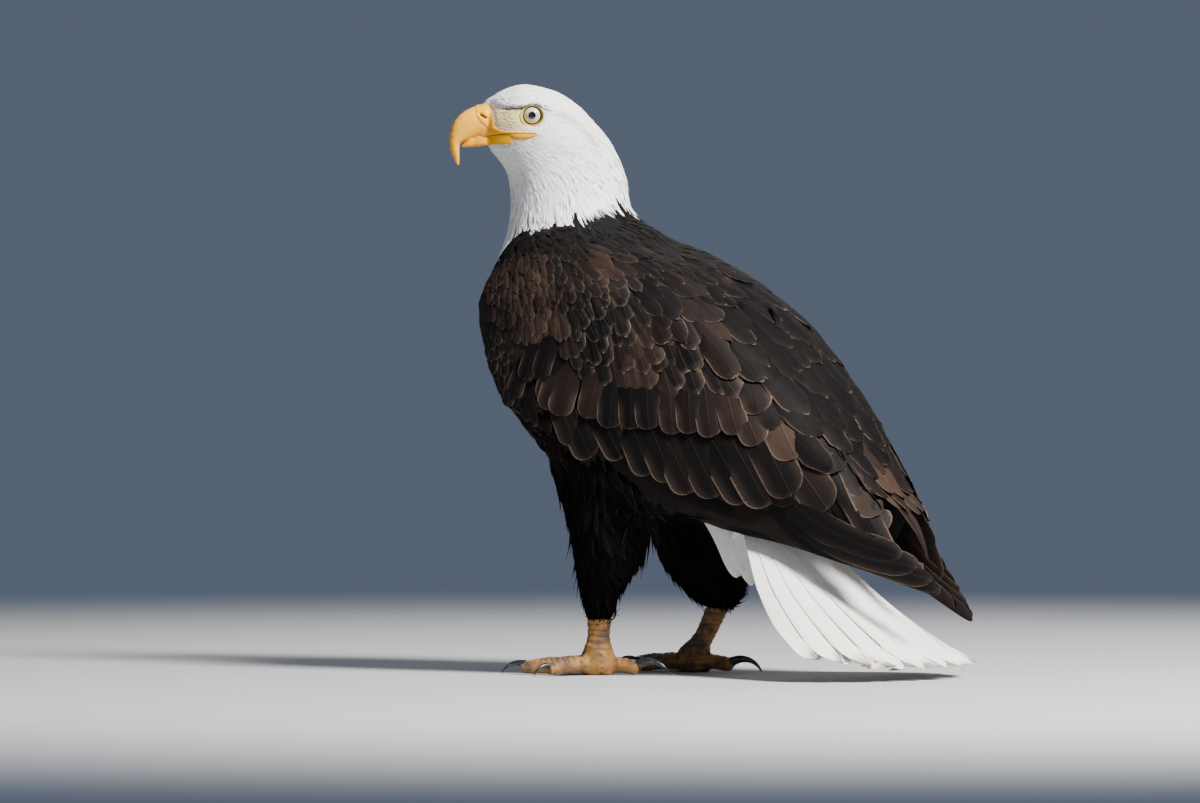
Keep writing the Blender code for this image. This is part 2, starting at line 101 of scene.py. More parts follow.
def spline(points: Array, at: Array) -> Array:
    """A smooth curve through points.

    Args:
        points: the rows that the curve passes through.
        at: where to read it, from 0 at the first row to 1 at the last.

    Returns:
        One row for each number in at.
    """
    points = np.asarray(points, float)
    place = np.clip(np.asarray(at, float), 0, 1) * (len(points) - 1)
    low = np.minimum(place.astype(int), len(points) - 2)
    share = (place - low)[:, None]
    slopes = np.gradient(points, axis=0)
    p, q, m, n = points[low], points[low + 1], slopes[low], slopes[low + 1]
    s2, s3 = share**2, share**3
    return (2 * s3 - 3 * s2 + 1) * p + (s3 - 2 * s2 + share) * m + (3 * s2 - 2 * s3) * q + (s3 - s2) * n


def wobble(points: Array, scale: float, seed: int = 0) -> Array:
    """Smooth noise between about -1 and 1.

    Args:
        points: where to read it.
        scale: how large its blotches are.
        seed: which noise.

    Returns:
        One number for each point.
    """
    rng = np.random.default_rng(seed)
    total = np.zeros(len(points))
    for _ in range(6):
        wave = rng.normal(size=3) / scale
        total += np.sin(points @ wave * 2.2 + rng.uniform(0, 6.3))
    return total / 3


def relaxed(values: Array, rounds: int = 3) -> Array:
    """A grid of values with the steps between neighbours evened out.

    Args:
        values: the grid.
        rounds: how many times.

    Returns:
        The new grid.
    """
    for _ in range(rounds):
        padded = np.pad(values, 1, mode="edge")
        beside = padded[:-2, 1:-1] + padded[2:, 1:-1] + padded[1:-1, :-2] + padded[1:-1, 2:]
        values = (beside + 2 * values) / 6
    return values


def quaternions(across: Array, along: Array, up: Array) -> Array:
    """Turns, as w, x, y and z, that bring X, Y and Z onto three sets of axes."""
    turns = [Matrix((a, b, c)).transposed().to_quaternion() for a, b, c in zip(across, along, up)]
    return np.array([tuple(turn) for turn in turns])


# ---------------------------------------------------------------- meshes
def loaded(items: bpy.types.bpy_prop_collection, key: str, width: int = 1, kind: type = float) -> Array:
    """What each item of a mesh holds under a key.

    Args:
        items: the vertices, edges, corners or values.
        key: the name of the property.
        width: how many numbers each has.
        kind: float or int.

    Returns:
        One number or one row for each item.
    """
    values = np.empty(len(items) * width, kind)
    items.foreach_get(key, values)
    return values.reshape(-1, width) if width > 1 else values


def arrays(mesh: Mesh) -> tuple[Array, Array]:
    """The mesh's points and its triangles."""
    mesh.calc_loop_triangles()
    return loaded(mesh.vertices, "co", 3), loaded(mesh.loop_triangles, "vertices", 3, int)


def normals_of(thing: Thing) -> Array:
    """The outward direction at each point of an object."""
    return loaded(thing.data.vertices, "normal", 3)


def put(thing: Thing, points: Array) -> None:
    """Moves an object's points, none of them under the floor.

    Args:
        thing: the object.
        points: the new places.
    """
    points = np.stack([points[:, 0], points[:, 1], np.maximum(points[:, 2], 0)], axis=-1)
    thing.data.vertices.foreach_set("co", points.ravel())
    thing.data.update()


def joined(bodies: list) -> tuple[Array, list]:
    """Some bodies as one.

    Args:
        bodies: the points and the faces of each.

    Returns:
        All the points, and the faces numbered on.
    """
    count, points, faces = 0, [], []
    for some, rows in bodies:
        points.append(some)
        faces += (np.asarray(rows) + count).tolist()
        count += len(some)
    return np.concatenate(points), faces


def tree_of(*things: Thing) -> BVHTree:
    """A search tree over the triangles of some objects."""
    points, faces = joined([arrays(thing.data) for thing in things])
    return BVHTree.FromPolygons(points.tolist(), faces)


def tree_of_nodes(*nodes: str) -> BVHTree:
    """A search tree over some solids of the frame."""
    return tree_of(*(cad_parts[node] for node in nodes))


def new_object(name: str, points: Array, faces: list) -> Thing:
    """A smooth mesh object in the scene.

    Args:
        name: the piece's name.
        points: its vertices.
        faces: its faces, as rows of vertex numbers.

    Returns:
        The new object.
    """
    mesh = bpy.data.meshes.new(name)
    mesh.from_pydata(np.asarray(points).tolist(), [], faces)
    mesh.shade_smooth()
    made = bpy.data.objects.new(name, mesh)
    bpy.context.scene.collection.objects.link(made)
    return made


@contextmanager
def edited(thing: Thing) -> Iterator[bmesh.types.BMesh]:
    """Opens an object's mesh for changes and writes them back.

    Args:
        thing: the object.

    Yields:
        The mesh to change.
    """
    shell = bmesh.new()
    shell.from_mesh(thing.data)
    yield shell
    shell.to_mesh(thing.data)
    shell.free()


def face_outwards(thing: Thing, merge: float = 1e-6) -> None:
    """Merges doubled vertices and turns every face outwards.

    Args:
        thing: the object.
        merge: how near doubled vertices are, or 0 to leave them.
    """
    with edited(thing) as shell:
        if merge:
            bmesh.ops.remove_doubles(shell, verts=shell.verts, dist=merge)
        bmesh.ops.recalc_face_normals(shell, faces=shell.faces)


def apply_modifiers(thing: Thing) -> None:
    """Turns what the object's modifiers make into its own plain mesh.

    Args:
        thing: the object.
    """
    graph = bpy.context.evaluated_depsgraph_get()
    graph.update()
    finished, old = bpy.data.meshes.new_from_object(thing.evaluated_get(graph)), thing.data
    thing.modifiers.clear()
    thing.data = finished
    bpy.data.meshes.remove(old)


def copy_of(name: str, *nodes: str) -> Thing:
    """One object that holds copies of some solids.

    Args:
        name: its name.
        nodes: the solids' nodes.

    Returns:
        The object, with its doubled vertices merged.
    """
    made = new_object(name, *joined([arrays(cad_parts[node].data) for node in nodes]))
    face_outwards(made, 2e-5)
    return made


def remeshed(thing: Thing, voxel: float, rounds: int, swell: float = 0.0) -> Thing:
    """Makes one even closed surface of an object's overlapping or nearly touching bodies.

    Args:
        thing: the object, whose mesh is replaced.
        voxel: the size of the new faces.
        rounds: how many times the new surface is relaxed.
        swell: how far the bodies are swollen first.

    Returns:
        The same object.
    """
    if swell:
        grow = thing.modifiers.new("swell", "DISPLACE")
        grow.strength, grow.mid_level = swell, 0.0
    remesh = thing.modifiers.new("remesh", "REMESH")
    remesh.mode, remesh.voxel_size, remesh.use_smooth_shade = "VOXEL", voxel, True
    relax = thing.modifiers.new("relax", "SMOOTH")
    relax.factor, relax.iterations = 0.5, rounds
    apply_modifiers(thing)
    return thing


def neighbours(thing: Thing, values: Array) -> tuple[Array, Array]:
    """What the neighbours of each point of a mesh hold.

    Args:
        thing: the object whose edges join the points.
        values: one row for each point.

    Returns:
        The sum over each point's neighbours, and how many there are.
    """
    edges = loaded(thing.data.edges, "vertices", 2, int)
    total = np.zeros_like(values)
    np.add.at(total, edges[:, 0], values[edges[:, 1]])
    np.add.at(total, edges[:, 1], values[edges[:, 0]])
    return total, np.bincount(edges.ravel(), minlength=len(values))[:, None]


def evened(thing: Thing, points: Array, share: Array, rounds: int) -> Array:
    """Points of a mesh drawn towards their neighbours.

    Args:
        thing: the object whose edges join the points.
        points: their places.
        share: how strongly each is drawn, from 0 to 1.
        rounds: how many times.

    Returns:
        The new places.
    """
    for _ in range(rounds):
        total, count = neighbours(thing, points)
        points = points + 0.6 * share[:, None] * (total / count - points)
    return points


def keep_largest(thing: Thing) -> None:
    """Removes every part of a mesh that isn't joined to its largest one.

    Args:
        thing: the object.
    """
    with edited(thing) as shell:
        left, parts = set(shell.verts), []
        while left:
            front = [left.pop()]
            part = set(front)
            while front:
                near = {edge.other_vert(vertex) for vertex in front for edge in vertex.link_edges} - part
                part |= near
                front = list(near)
            left -= part
            parts.append(part)
        parts.sort(key=len)
        spare = [vertex for part in parts[:-1] for vertex in part]
        bmesh.ops.delete(shell, geom=spare, context="VERTS")


def add_values(mesh: Mesh, name: str, values: Array, kind: str = "FLOAT", domain: str = "POINT") -> None:
    """Stores values on a mesh under a name.

    Args:
        mesh: the mesh.
        name: the values' name.
        values: one number or row for each point or corner.
        kind: their type.
        domain: POINT or CORNER.
    """
    key = {"FLOAT_COLOR": "color", "FLOAT_VECTOR": "vector", "FLOAT2": "vector"}.get(kind, "value")
    number = np.int32 if kind == "INT" else np.float32
    mesh.attributes.new(name, kind, domain).data.foreach_set(key, np.asarray(values, number).ravel())


def add_map(mesh: Mesh, name: str, places: Array) -> None:
    """Gives a mesh a flat map, with one place for each corner."""
    mesh.uv_layers.new(name=name).data.foreach_set("uv", places.astype(np.float32).ravel())


# ---------------------------------------------------------------- where the bird's parts are
def middle_of(node: str) -> Array:
    """The middle of a solid's box."""
    return np.array(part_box(node)).mean(axis=0)


@dataclass(frozen=True)
class HeadFrame:
    """The axes of the turned head, whose origin is on the floor under the upright axis of the neck."""

    axis: Array
    forward: Array
    left: Array

    @staticmethod
    def of_frame() -> "HeadFrame":
        """Reads the head's turn from the two eyes.

        Returns:
            The head's axes.
        """
        left_eye, right_eye = middle_of("eye_left"), middle_of("eye_right")
        left = unit(left_eye - right_eye)
        forward = np.cross(left, (0, 0, 1))
        axis = (left_eye + right_eye) / 2 - EYE_AHEAD * forward
        return HeadFrame(axis * (1, 1, 0), forward, left)

    def point(self, ahead: float, aside: float, up: float) -> Array:
        """A place given ahead of the neck's axis, to the bird's left, and above the floor."""
        return self.axis + ahead * self.forward + aside * self.left + np.array((0, 0, up))

    def points(self, ahead: Array, aside: Array, up: Array) -> Array:
        """Places given as three arrays."""
        return np.array([self.point(*place) for place in zip(ahead, aside, up)])

    def vector(self, ahead: float, aside: float, up: float) -> Array:
        """A direction given in the head's own axes."""
        return unit(ahead * self.forward + aside * self.left + np.array((0, 0, up)))

    def local(self, points: Array) -> Array:
        """Three rows: how far ahead, aside and up the points are."""
        rest = points - self.axis
        return np.stack([rest @ self.forward, rest @ self.left, points[:, 2]])


EYE_AHEAD = 0.0356  # the eyes lie this far ahead of the neck's axis
EYE_BALL = 0.0110
HEAD = HeadFrame.of_frame()
EYE_HEIGHT = float(middle_of("eye_left")[2])
EYE_AXES = {"left": unit(HEAD.left + 0.05 * HEAD.forward), "right": unit(-HEAD.left + 0.05 * HEAD.forward)}
# how far the forehead's middle reaches ahead, by height: it laps over the bill's top and slopes back above
FRONT = ((0.5400, 0.0), (0.5450, 0.0040), (0.5490, 0.0080), (0.5520, 0.0045), (0.5555, 0.0010),
         (0.5590, -0.0045))
COLLAR_HEIGHT, COLLAR_SLOPE = 0.440, 0.40  # the white feathers grow above this level, which rises to the rear
REAR_AXIS = np.array((0.79, 0.0, -0.61)) / math.hypot(0.79, 0.61)  # down the sloping back
REAR_UP = np.array((0.61, 0.0, 0.79)) / math.hypot(0.79, 0.61)


class Tract(Enum):
    """The regions of the plumage, each a piece of its own."""

    FACE = "face"
    NECK = "neck"
    MANTLE = "mantle"
    BREAST = "breast"
    WING = "wing_coverts"
    LEG = "trousers"
    TAIL = "tail_coverts"


SIZES = ("length", "width", "spacing", "lift", "brown", "pale", "depth")
IN_MILLIMETRES = ("length", "width", "spacing", "lift", "depth")


@dataclass(frozen=True)
class Guide:
    """How the feathers grow at one place. The lie is the way they point, and the sizes are those of SIZES."""

    tract: Tract
    place: Array
    lie: Array
    sizes: tuple


# ahead, aside, up, lie ahead, aside, up, length, width, spacing, lift, depth
HEAD_GUIDES = {
    Tract.FACE: (
        (0.066, 0.019, 0.53, -1, 0.1, -0.05, 4, 1, 1.25, 0.2, 0.8),
        (0.048, 0.027, 0.528, -1, 0.1, -0.15, 4, 1, 1.25, 0.2, 0.8),
        (0.07, 0, 0.553, -1, 0, 0.25, 5, 1.5, 1.35, 0.25, 0.9),
        (0.044, 0.027, 0.549, -1, 0.1, 0.05, 6, 1.6, 1.4, 0.28, 1),
        (0.02, 0, 0.564, -1, 0, -0.1, 9, 2, 1.7, 0.35, 1.4),
        (0.03, 0.032, 0.514, -0.9, 0, -0.45, 8, 1.8, 1.6, 0.5, 1.2),
        (0.066, 0.01, 0.502, -0.7, 0, -0.7, 7, 1.7, 1.6, 0.5, 1.2),
        (0.01, 0.036, 0.536, -1, 0, -0.3, 10, 2, 1.75, 0.4, 1.4),
    ),
    Tract.NECK: (
        (-0.01, 0.038, 0.508, -0.6, 0, -0.8, 16, 2.3, 2.2, 0.6, 2.2),
        (-0.026, 0, 0.532, -0.7, 0, -0.7, 18, 2.4, 2.3, 1, 1.8),
        (0.06, 0.01, 0.472, -0.1, 0, -1, 19, 3, 2.6, 1.1, 2.8),
        (0.01, 0.042, 0.465, -0.1, 0, -1, 30, 3.6, 3.1, 1.3, 3.8),
        (-0.048, 0, 0.5, -0.5, 0, -0.85, 26, 3.2, 2.8, 2.4, 2.6),
        (-0.056, 0, 0.47, -0.4, 0, -0.9, 34, 3.9, 3.3, 2.6, 3.4),
        (0.062, 0, 0.425, 0.05, 0, -1, 34, 3.9, 3.3, 1.5, 4.3),
        (-0.02, 0.055, 0.44, -0.2, 0, -1, 38, 4.2, 3.5, 1.7, 4.8),
    ),
}
# x, y, z, lie x, y, z, length, width, spacing, lift, brown, pale, depth
BODY_GUIDES = {
    Tract.MANTLE: (
        (-0.11, 0, 0.432, 0.85, 0, -0.35, 34, 7, 5.2, 2, 0.12, 0.1, 5),
        (-0.045, 0, 0.41, 0.8, 0, -0.6, 46, 14, 9, 2.4, 0.12, 0.2, 5),
        (0.035, 0, 0.345, 0.7, 0, -0.72, 66, 28, 15.5, 3, 0.03, 0.25, 4.5),
        (0.11, 0, 0.23, 0.62, 0, -0.78, 72, 32, 18, 3, 0.02, 0.2, 4),
        (-0.15, -0.055, 0.425, 0.6, -0.4, -0.6, 28, 7, 5, 1.8, 0.12, 0.1, 4.5),
        (-0.08, -0.07, 0.408, 0.88, 0, -0.45, 34, 13, 8.5, 2, 0.15, 0.35, 4),
        (-0.02, -0.065, 0.386, 0.82, 0, -0.58, 50, 21, 12.5, 2.4, 0.22, 0.45, 4),
        (0.04, -0.055, 0.335, 0.76, 0, -0.66, 68, 32, 17.5, 3.2, 0.1, 0.45, 3.8),
        (0.09, -0.045, 0.28, 0.7, 0, -0.72, 74, 36, 20, 3.4, 0.04, 0.3, 3.6),
        (0.14, -0.035, 0.21, 0.66, 0, -0.75, 74, 35, 20, 3.2, 0.04, 0.25, 3),
    ),
    Tract.BREAST: (
        (-0.225, -0.02, 0.405, 0, 0, -1, 30, 6, 4.8, 2, 0.05, 0.05, 5),
        (-0.245, 0, 0.33, 0.15, 0, -1, 34, 9, 6.5, 2.2, 0.05, 0.1, 5),
        (-0.215, -0.08, 0.32, 0.2, 0, -1, 32, 9, 6.5, 2, 0.05, 0.1, 4.5),
        (-0.19, -0.03, 0.25, 0.5, 0, -0.85, 38, 11, 8, 2.2, 0.05, 0.05, 4.5),
        (-0.09, -0.02, 0.19, 0.8, 0, -0.5, 40, 12, 9, 2.2, 0.05, 0.05, 4.5),
        (0.03, -0.02, 0.15, 0.9, 0, -0.3, 42, 13, 10, 2.2, 0.05, 0.05, 4),
    ),
    Tract.WING: (
        (-0.222, -0.065, 0.385, 0.1, 0, -1, 16, 7, 4.6, 1.1, 0.02, 0.05, 3.2),
        (-0.222, -0.075, 0.31, 0.05, 0, -1, 24, 9, 6, 1.3, 0.02, 0.08, 3.2),
        (-0.195, -0.09, 0.38, 0.15, 0, -0.98, 13, 6.5, 4.4, 1.1, 0.8, 0.45, 3),
        (-0.15, -0.1, 0.385, 0.35, 0, -0.93, 15, 8, 5, 1.2, 0.85, 0.5, 3.2),
        (-0.182, -0.105, 0.32, -0.1, 0, -1, 20, 10, 6.6, 1.3, 0.45, 0.6, 3.2),
        (-0.13, -0.11, 0.335, 0.05, 0, -1, 24, 15, 8.8, 1.5, 0.55, 0.85, 3.4),
        (-0.06, -0.108, 0.325, 0.18, 0, -0.98, 29, 20, 11.5, 1.8, 0.42, 1, 3.6),
        (0, -0.1, 0.31, 0.35, 0, -0.93, 33, 23, 13, 1.9, 0.4, 1, 3.6),
        (0.06, -0.09, 0.29, 0.45, 0, -0.9, 36, 25, 14, 2, 0.3, 0.85, 3.6),
        (-0.08, -0.1, 0.375, 0.55, 0, -0.82, 20, 11, 7, 1.5, 0.6, 0.6, 3.6),
    ),
    Tract.TAIL: (
        (0.11, 0, 0.165, 0.92, 0, -0.4, 46, 15, 9, 1.6, 0, 0, 2.5),
        (0.09, 0, 0.13, 0.92, 0, -0.35, 26, 12, 7, 1.2, 0, 0, 2.5),
    ),
    Tract.LEG: (
        (-0.11, -0.075, 0.19, 0.1, 0, -1, 36, 6, 4.6, 2.2, 0, 0, 4.5),
        (-0.105, -0.065, 0.12, 0.1, 0, -1, 34, 4.5, 3.6, 2.6, 0, 0, 4),
        (-0.1, -0.06, 0.075, 0.05, 0, -1, 25, 3.2, 2.7, 2.2, 0, 0, 2.6),
        (-0.07, 0.07, 0.18, 0.1, 0, -1, 36, 6, 4.6, 2.2, 0, 0, 4.5),
        (-0.045, 0.065, 0.12, 0.2, 0, -1, 34, 4.5, 3.6, 2.6, 0, 0, 4),
        (-0.04, 0.06, 0.08, 0.1, 0, -1, 27, 3.2, 2.7, 2.2, 0, 0, 2.6),
    ),
}


def head_guides() -> list[Guide]:
    """The guides of the head and neck, which turn with the head. Those aside are given for the left.

    Returns:
        The guides of both sides.
    """
    guides = []
    for tract, rows in HEAD_GUIDES.items():
        for ahead, aside, up, a, s, u, *sizes, depth in rows:
            for side in ((1, -1) if aside else (1,)):
                place, lie = HEAD.point(ahead, side * aside, up), HEAD.vector(a, side * s, u)
                guides.append(Guide(tract, place, lie, (*sizes, 0, 0, depth)))
    return guides


def body_guides() -> list[Guide]:
    """The guides of the trunk, wings and thighs. Those beside the middle plane are given for the left side.

    Returns:
        The guides of both sides.
    """
    guides = []
    for tract, rows in BODY_GUIDES.items():
        for row in rows:
            place, lie, sizes = np.array(row[:3]), unit(np.array(row[3:6])), row[6:]
            guides.append(Guide(tract, place, lie, sizes))
            if place[1] and tract is not Tract.LEG:
                guides.append(Guide(tract, place * (1, -1, 1), lie * (1, -1, 1), sizes))
    return guides


def on_trunk(points: Array) -> Array:
    """Which places lie nearer to the trunk's solid than to the wings'.

    Args:
        points: the places.

    Returns:
        True or False for each.
    """
    wings, trunk = tree_of_nodes("wing_left", "wing_right"), tree_of_nodes("trunk")
    return np.array([trunk.find_nearest(Vector(p))[3] <= wings.find_nearest(Vector(p))[3] for p in points])


class Plumage:
    """What grows at each place on the skin, blended from the guides."""

    def __init__(self, guides: list[Guide]) -> None:
        """Keeps the guides as arrays.

        Args:
            guides: the guides to blend.
        """
        self.places = np.array([guide.place for guide in guides])
        self.lies = np.array([guide.lie for guide in guides])
        self.sizes = np.array([guide.sizes for guide in guides], float)
        self.tracts = np.array([guide.tract.value for guide in guides])

    def at(self, points: Array, normals: Array) -> dict[str, Array]:
        """Everything about the feathers at some places. The nearest guides count most.

        Args:
            points: places on the skin.
            normals: the skin's outward directions there.

        Returns:
            Arrays for lie, tract and each name in SIZES.
        """
        gap = np.linalg.norm(points[:, None] - self.places[None], axis=-1)
        weights = 1 / (gap + 0.006) ** 3.2
        weights /= weights.sum(axis=1, keepdims=True)
        found = dict(zip(SIZES, (weights @ self.sizes).T))
        for name in IN_MILLIMETRES:
            found[name] = found[name] / 1000
        found["lie"] = flattened(weights @ self.lies, normals)
        found["tract"] = self.tracts[weights.argmax(axis=1)]
        return found


def flattened(lie: Array, normals: Array) -> Array:
    """Directions laid into the surface whose outward directions are given."""
    return unit(lie - (lie * normals).sum(axis=1, keepdims=True) * normals)


PLUMAGE = Plumage(head_guides() + body_guides())

# ---------------------------------------------------------------- markings
WHITE = np.array((0.92, 0.92, 0.91))
SOOT = np.array((0.0034, 0.0031, 0.0034))
UMBER = np.array((0.0100, 0.0070, 0.0060))
RUST = np.array((0.042, 0.025, 0.018))
# grey of the face's smudges, also used as painted shadow under the brow and over the eye's ring
GREY_MARKS_AND_SHADOW = np.array((0.17, 0.145, 0.13))
LORE_STAIN = np.array((0.98, 0.81, 0.42))


def is_white(points: Array, rear: Array | bool = False) -> Array:
    """How white the plumage is, with a ragged collar.

    Args:
        points: places on the skin.
        rear: where the feathers belong to the tail.

    Returns:
        0 to 1 for each place.
    """
    level = COLLAR_HEIGHT + COLLAR_SLOPE * (points[:, 0] - HEAD.axis[0])
    ragged = 0.007 * wobble(points * np.array((1, 1, 0.3)), 0.016, 3)
    front = ramp(-0.002, 0.002, points[:, 2] - level - ragged)
    behind = ramp(0.052, 0.056, points[:, 0] + 0.4 * (points[:, 2] - 0.12) + 0.5 * ragged)
    return np.maximum(front, behind * rear)


def face_marks(points: Array) -> tuple[Array, Array]:
    """The grey smudges and the painted shadows of the brow, and the yellowish bare skin before the eye.

    Args:
        points: places on the head.

    Returns:
        The strength of the grey and of the yellow at each place.
    """
    ahead, aside, up = HEAD.local(points)
    above, back = up - EYE_HEIGHT, EYE_AHEAD - ahead
    beside = np.abs(aside) > 0.010
    # painted shadow: a dark line under the brow's ridge
    brow = hump(above - brow_height(back) + 0.0004, 0.0019) * brow_reach(back)
    arc = hump(above - 0.003 + 14 * np.maximum(back - 0.014, 0) ** 2, 0.0045)
    arc *= ramp(0.010, 0.022, back) * ramp(0.062, 0.048, back)
    cheek = hump(above + 0.024 + 0.25 * back, 0.006) * ramp(0.036, 0.018, np.abs(back - 0.005))
    streak = 0.5 + 0.5 * np.sin((above + 0.45 * back) * 2600 + 3 * wobble(points, 0.01, 8))
    grey = np.clip(1.45 * brow + (0.26 + 0.36 * streak) * arc + 0.30 * cheek * streak, 0, 1)
    # painted shadow of the brow along the top of the eye's ring
    lid = hump(np.hypot(above, 0.85 * back) - 0.0112, 0.0012) * ramp(0.003, 0.007, above)
    lore = ramp(0.004, 0.016, -back) * ramp(0.0145, 0.006, np.abs(above + 0.0035))
    return np.maximum(grey, 0.85 * lid) * beside, lore * beside


def brow_height(back: Array) -> Array:
    """How high over the eye's middle the shaded line under the brow runs, by the distance behind the eye."""
    return 0.0080 + 0.09 * back + 2.0 * back**2


def brow_reach(back: Array) -> Array:
    """1 along the brow, fading out before and behind it."""
    return ramp(-0.036, -0.024, back) * ramp(0.013, 0.004, back)


def coat_colour(points: Array, brown: Array, rng: Draw, rear: Array | bool = False) -> Array:
    """The colour of the plumage.

    Args:
        points: places on the skin.
        brown: how brown rather than black the dark feathers are, from 0 to 1.
        rng: the draw of the small differences between feathers.
        rear: where the feathers belong to the tail.

    Returns:
        Red, green, blue and one for each place.
    """
    pale = WHITE * (1 - 0.05 * rng.random((len(points), 1)))
    # the grey holds painted shadow under the brow and over the eye's ring as well as the face's smudges
    for strength, tint in zip(face_marks(points), (GREY_MARKS_AND_SHADOW, LORE_STAIN)):
        pale = pale * (1 - strength[:, None] * (1 - tint))
    patch = brown + 0.35 * wobble(points, 0.03, 5) * (brown > 0.15)
    patch = np.clip(patch + 0.25 * rng.normal(size=len(brown)) * brown, 0, 1)[:, None]
    dark = SOOT + (UMBER - SOOT) * np.clip(2.2 * patch, 0, 1)
    dark = dark + (RUST - dark) * ramp(0.35, 1.15, patch)
    dark = dark * (1 + 0.175 * rng.normal(size=(len(points), 1)).clip(-1.5, 1.5))
    rgb = dark + (pale - dark) * is_white(points, rear)[:, None]
    return np.concatenate([rgb, np.ones((len(points), 1))], axis=1)


# ---------------------------------------------------------------- finishes
class Term:
    """A number in a node tree that plain sums can be written with."""

    def __init__(self, graph: "Graph", socket: Socket) -> None:
        """Keeps the tree and the socket that gives the number."""
        self.graph, self.socket = graph, socket

    def __add__(self, other: object) -> "Term":
        """The sum."""
        return self.graph.math("ADD", self, other)

    def __sub__(self, other: object) -> "Term":
        """The difference."""
        return self.graph.math("SUBTRACT", self, other)

    def __rsub__(self, other: float) -> "Term":
        """The difference from a plain number."""
        return self.graph.math("SUBTRACT", other, self)

    def __mul__(self, other: object) -> "Term":
        """The product."""
        return self.graph.math("MULTIPLY", self, other)


class Graph:
    """Builds a node tree in few words."""

    def __init__(self, tree: bpy.types.NodeTree) -> None:
        """Keeps the tree."""
        self.tree = tree

    def feed(self, socket: Socket, value: object) -> None:
        """Links a socket or sets its value.

        Args:
            socket: the socket to feed.
            value: a plain value, a term, or the socket that feeds it.
        """
        value = getattr(value, "socket", value)
        if isinstance(value, Socket):
            self.tree.links.new(value, socket)
        else:
            socket.default_value = value

    def add(self, kind: str, inputs: dict | None = None, **settings: object) -> Node:
        """A node.

        Args:
            kind: the node's type.
            inputs: socket name or number to a value, or to what feeds it.
            settings: the node's own properties.

        Returns:
            The new node.
        """
        node = self.tree.nodes.new(kind)
        for key, value in settings.items():
            setattr(node, key, value)
        for key, value in (inputs or {}).items():
            self.feed(node.inputs[key], value)
        return node

    def math(self, operation: str, *values: object, clamp: bool = False) -> Term:
        """A Math node's result."""
        node = self.add("ShaderNodeMath", dict(enumerate(values)), operation=operation, use_clamp=clamp)
        return Term(self, node.outputs[0])

    def vector(self, operation: str, *values: object) -> Socket:
        """A Vector Math node's result."""
        node = self.add("ShaderNodeVectorMath", dict(enumerate(values)), operation=operation)
        return node.outputs["Value" if operation in ("DOT_PRODUCT", "LENGTH") else "Vector"]


class Paint(Graph):
    """The nodes of one material."""

    def __init__(self, name: str) -> None:
        """Starts a material of that name with its Principled shader.

        Args:
            name: the material's name.
        """
        self.material = bpy.data.materials.new(name)
        self.material.use_nodes = True
        super().__init__(self.material.node_tree)
        self.shader = self.tree.nodes["Principled BSDF"]

    def between(self, low: float, high: float, value: object) -> Term:
        """A smooth rise from 0 at low to 1 at high."""
        inputs = {"Value": value, "From Min": low, "From Max": high}
        return Term(self, self.add("ShaderNodeMapRange", inputs, interpolation_type="SMOOTHSTEP").outputs[0])

    def mix(self, share: object, first: object, second: object, blend: str = "MIX") -> Socket:
        """A mix of two colours."""
        inputs = {0: share, 6: first, 7: second}
        return self.add("ShaderNodeMix", inputs, data_type="RGBA", blend_type=blend).outputs[2]

    def grey(self, shade: object) -> Socket:
        """A grey of a number's brightness."""
        return self.add("ShaderNodeCombineColor", {0: shade, 1: shade, 2: shade}).outputs[0]

    def value(self, name: str) -> Term:
        """A number stored on the mesh."""
        return Term(self, self.add("ShaderNodeAttribute", attribute_name=name).outputs["Fac"])

    def coat(self) -> Socket:
        """The plumage's colour, stored on the mesh."""
        return self.add("ShaderNodeAttribute", attribute_name="coat").outputs["Color"]

    def place(self) -> Socket:
        """The Object coordinates."""
        return self.add("ShaderNodeTexCoord").outputs["Object"]

    def noise(self, scale: float, detail: float = 3, stretch: tuple = (1, 1, 1),
              where: Socket | None = None) -> Term:
        """Noise between 0 and 1.

        Args:
            scale: how many blotches there are to the metre.
            detail: how fine it goes.
            stretch: how much closer the blotches are along X, Y and Z.
            where: what it is read at instead of the Object coordinates.

        Returns:
            The noise.
        """
        where = where or self.add("ShaderNodeMapping", {"Vector": self.place(), "Scale": stretch}).outputs[0]
        node = self.add("ShaderNodeTexNoise", {"Vector": where, "Scale": scale, "Detail": detail})
        return Term(self, node.outputs["Fac"])

    def finish(self, colour: object, roughness: object, height: object = None, depth: float = 0.0,
               **fixed: object) -> bpy.types.Material:
        """Feeds the shader.

        Args:
            colour: the base colour.
            roughness: the roughness.
            height: what the bump follows.
            depth: how deep the bump is.
            fixed: other inputs of the shader, by name with _ for a space.

        Returns:
            The material.
        """
        inputs = {"Base Color": colour, "Roughness": roughness}
        if height is not None:
            inputs["Normal"] = self.add("ShaderNodeBump", {"Height": height, "Distance": depth}).outputs[0]
        inputs.update({key.replace("_", " "): value for key, value in fixed.items()})
        for key, value in inputs.items():
            self.feed(self.shader.inputs[key], value)
        return self.material


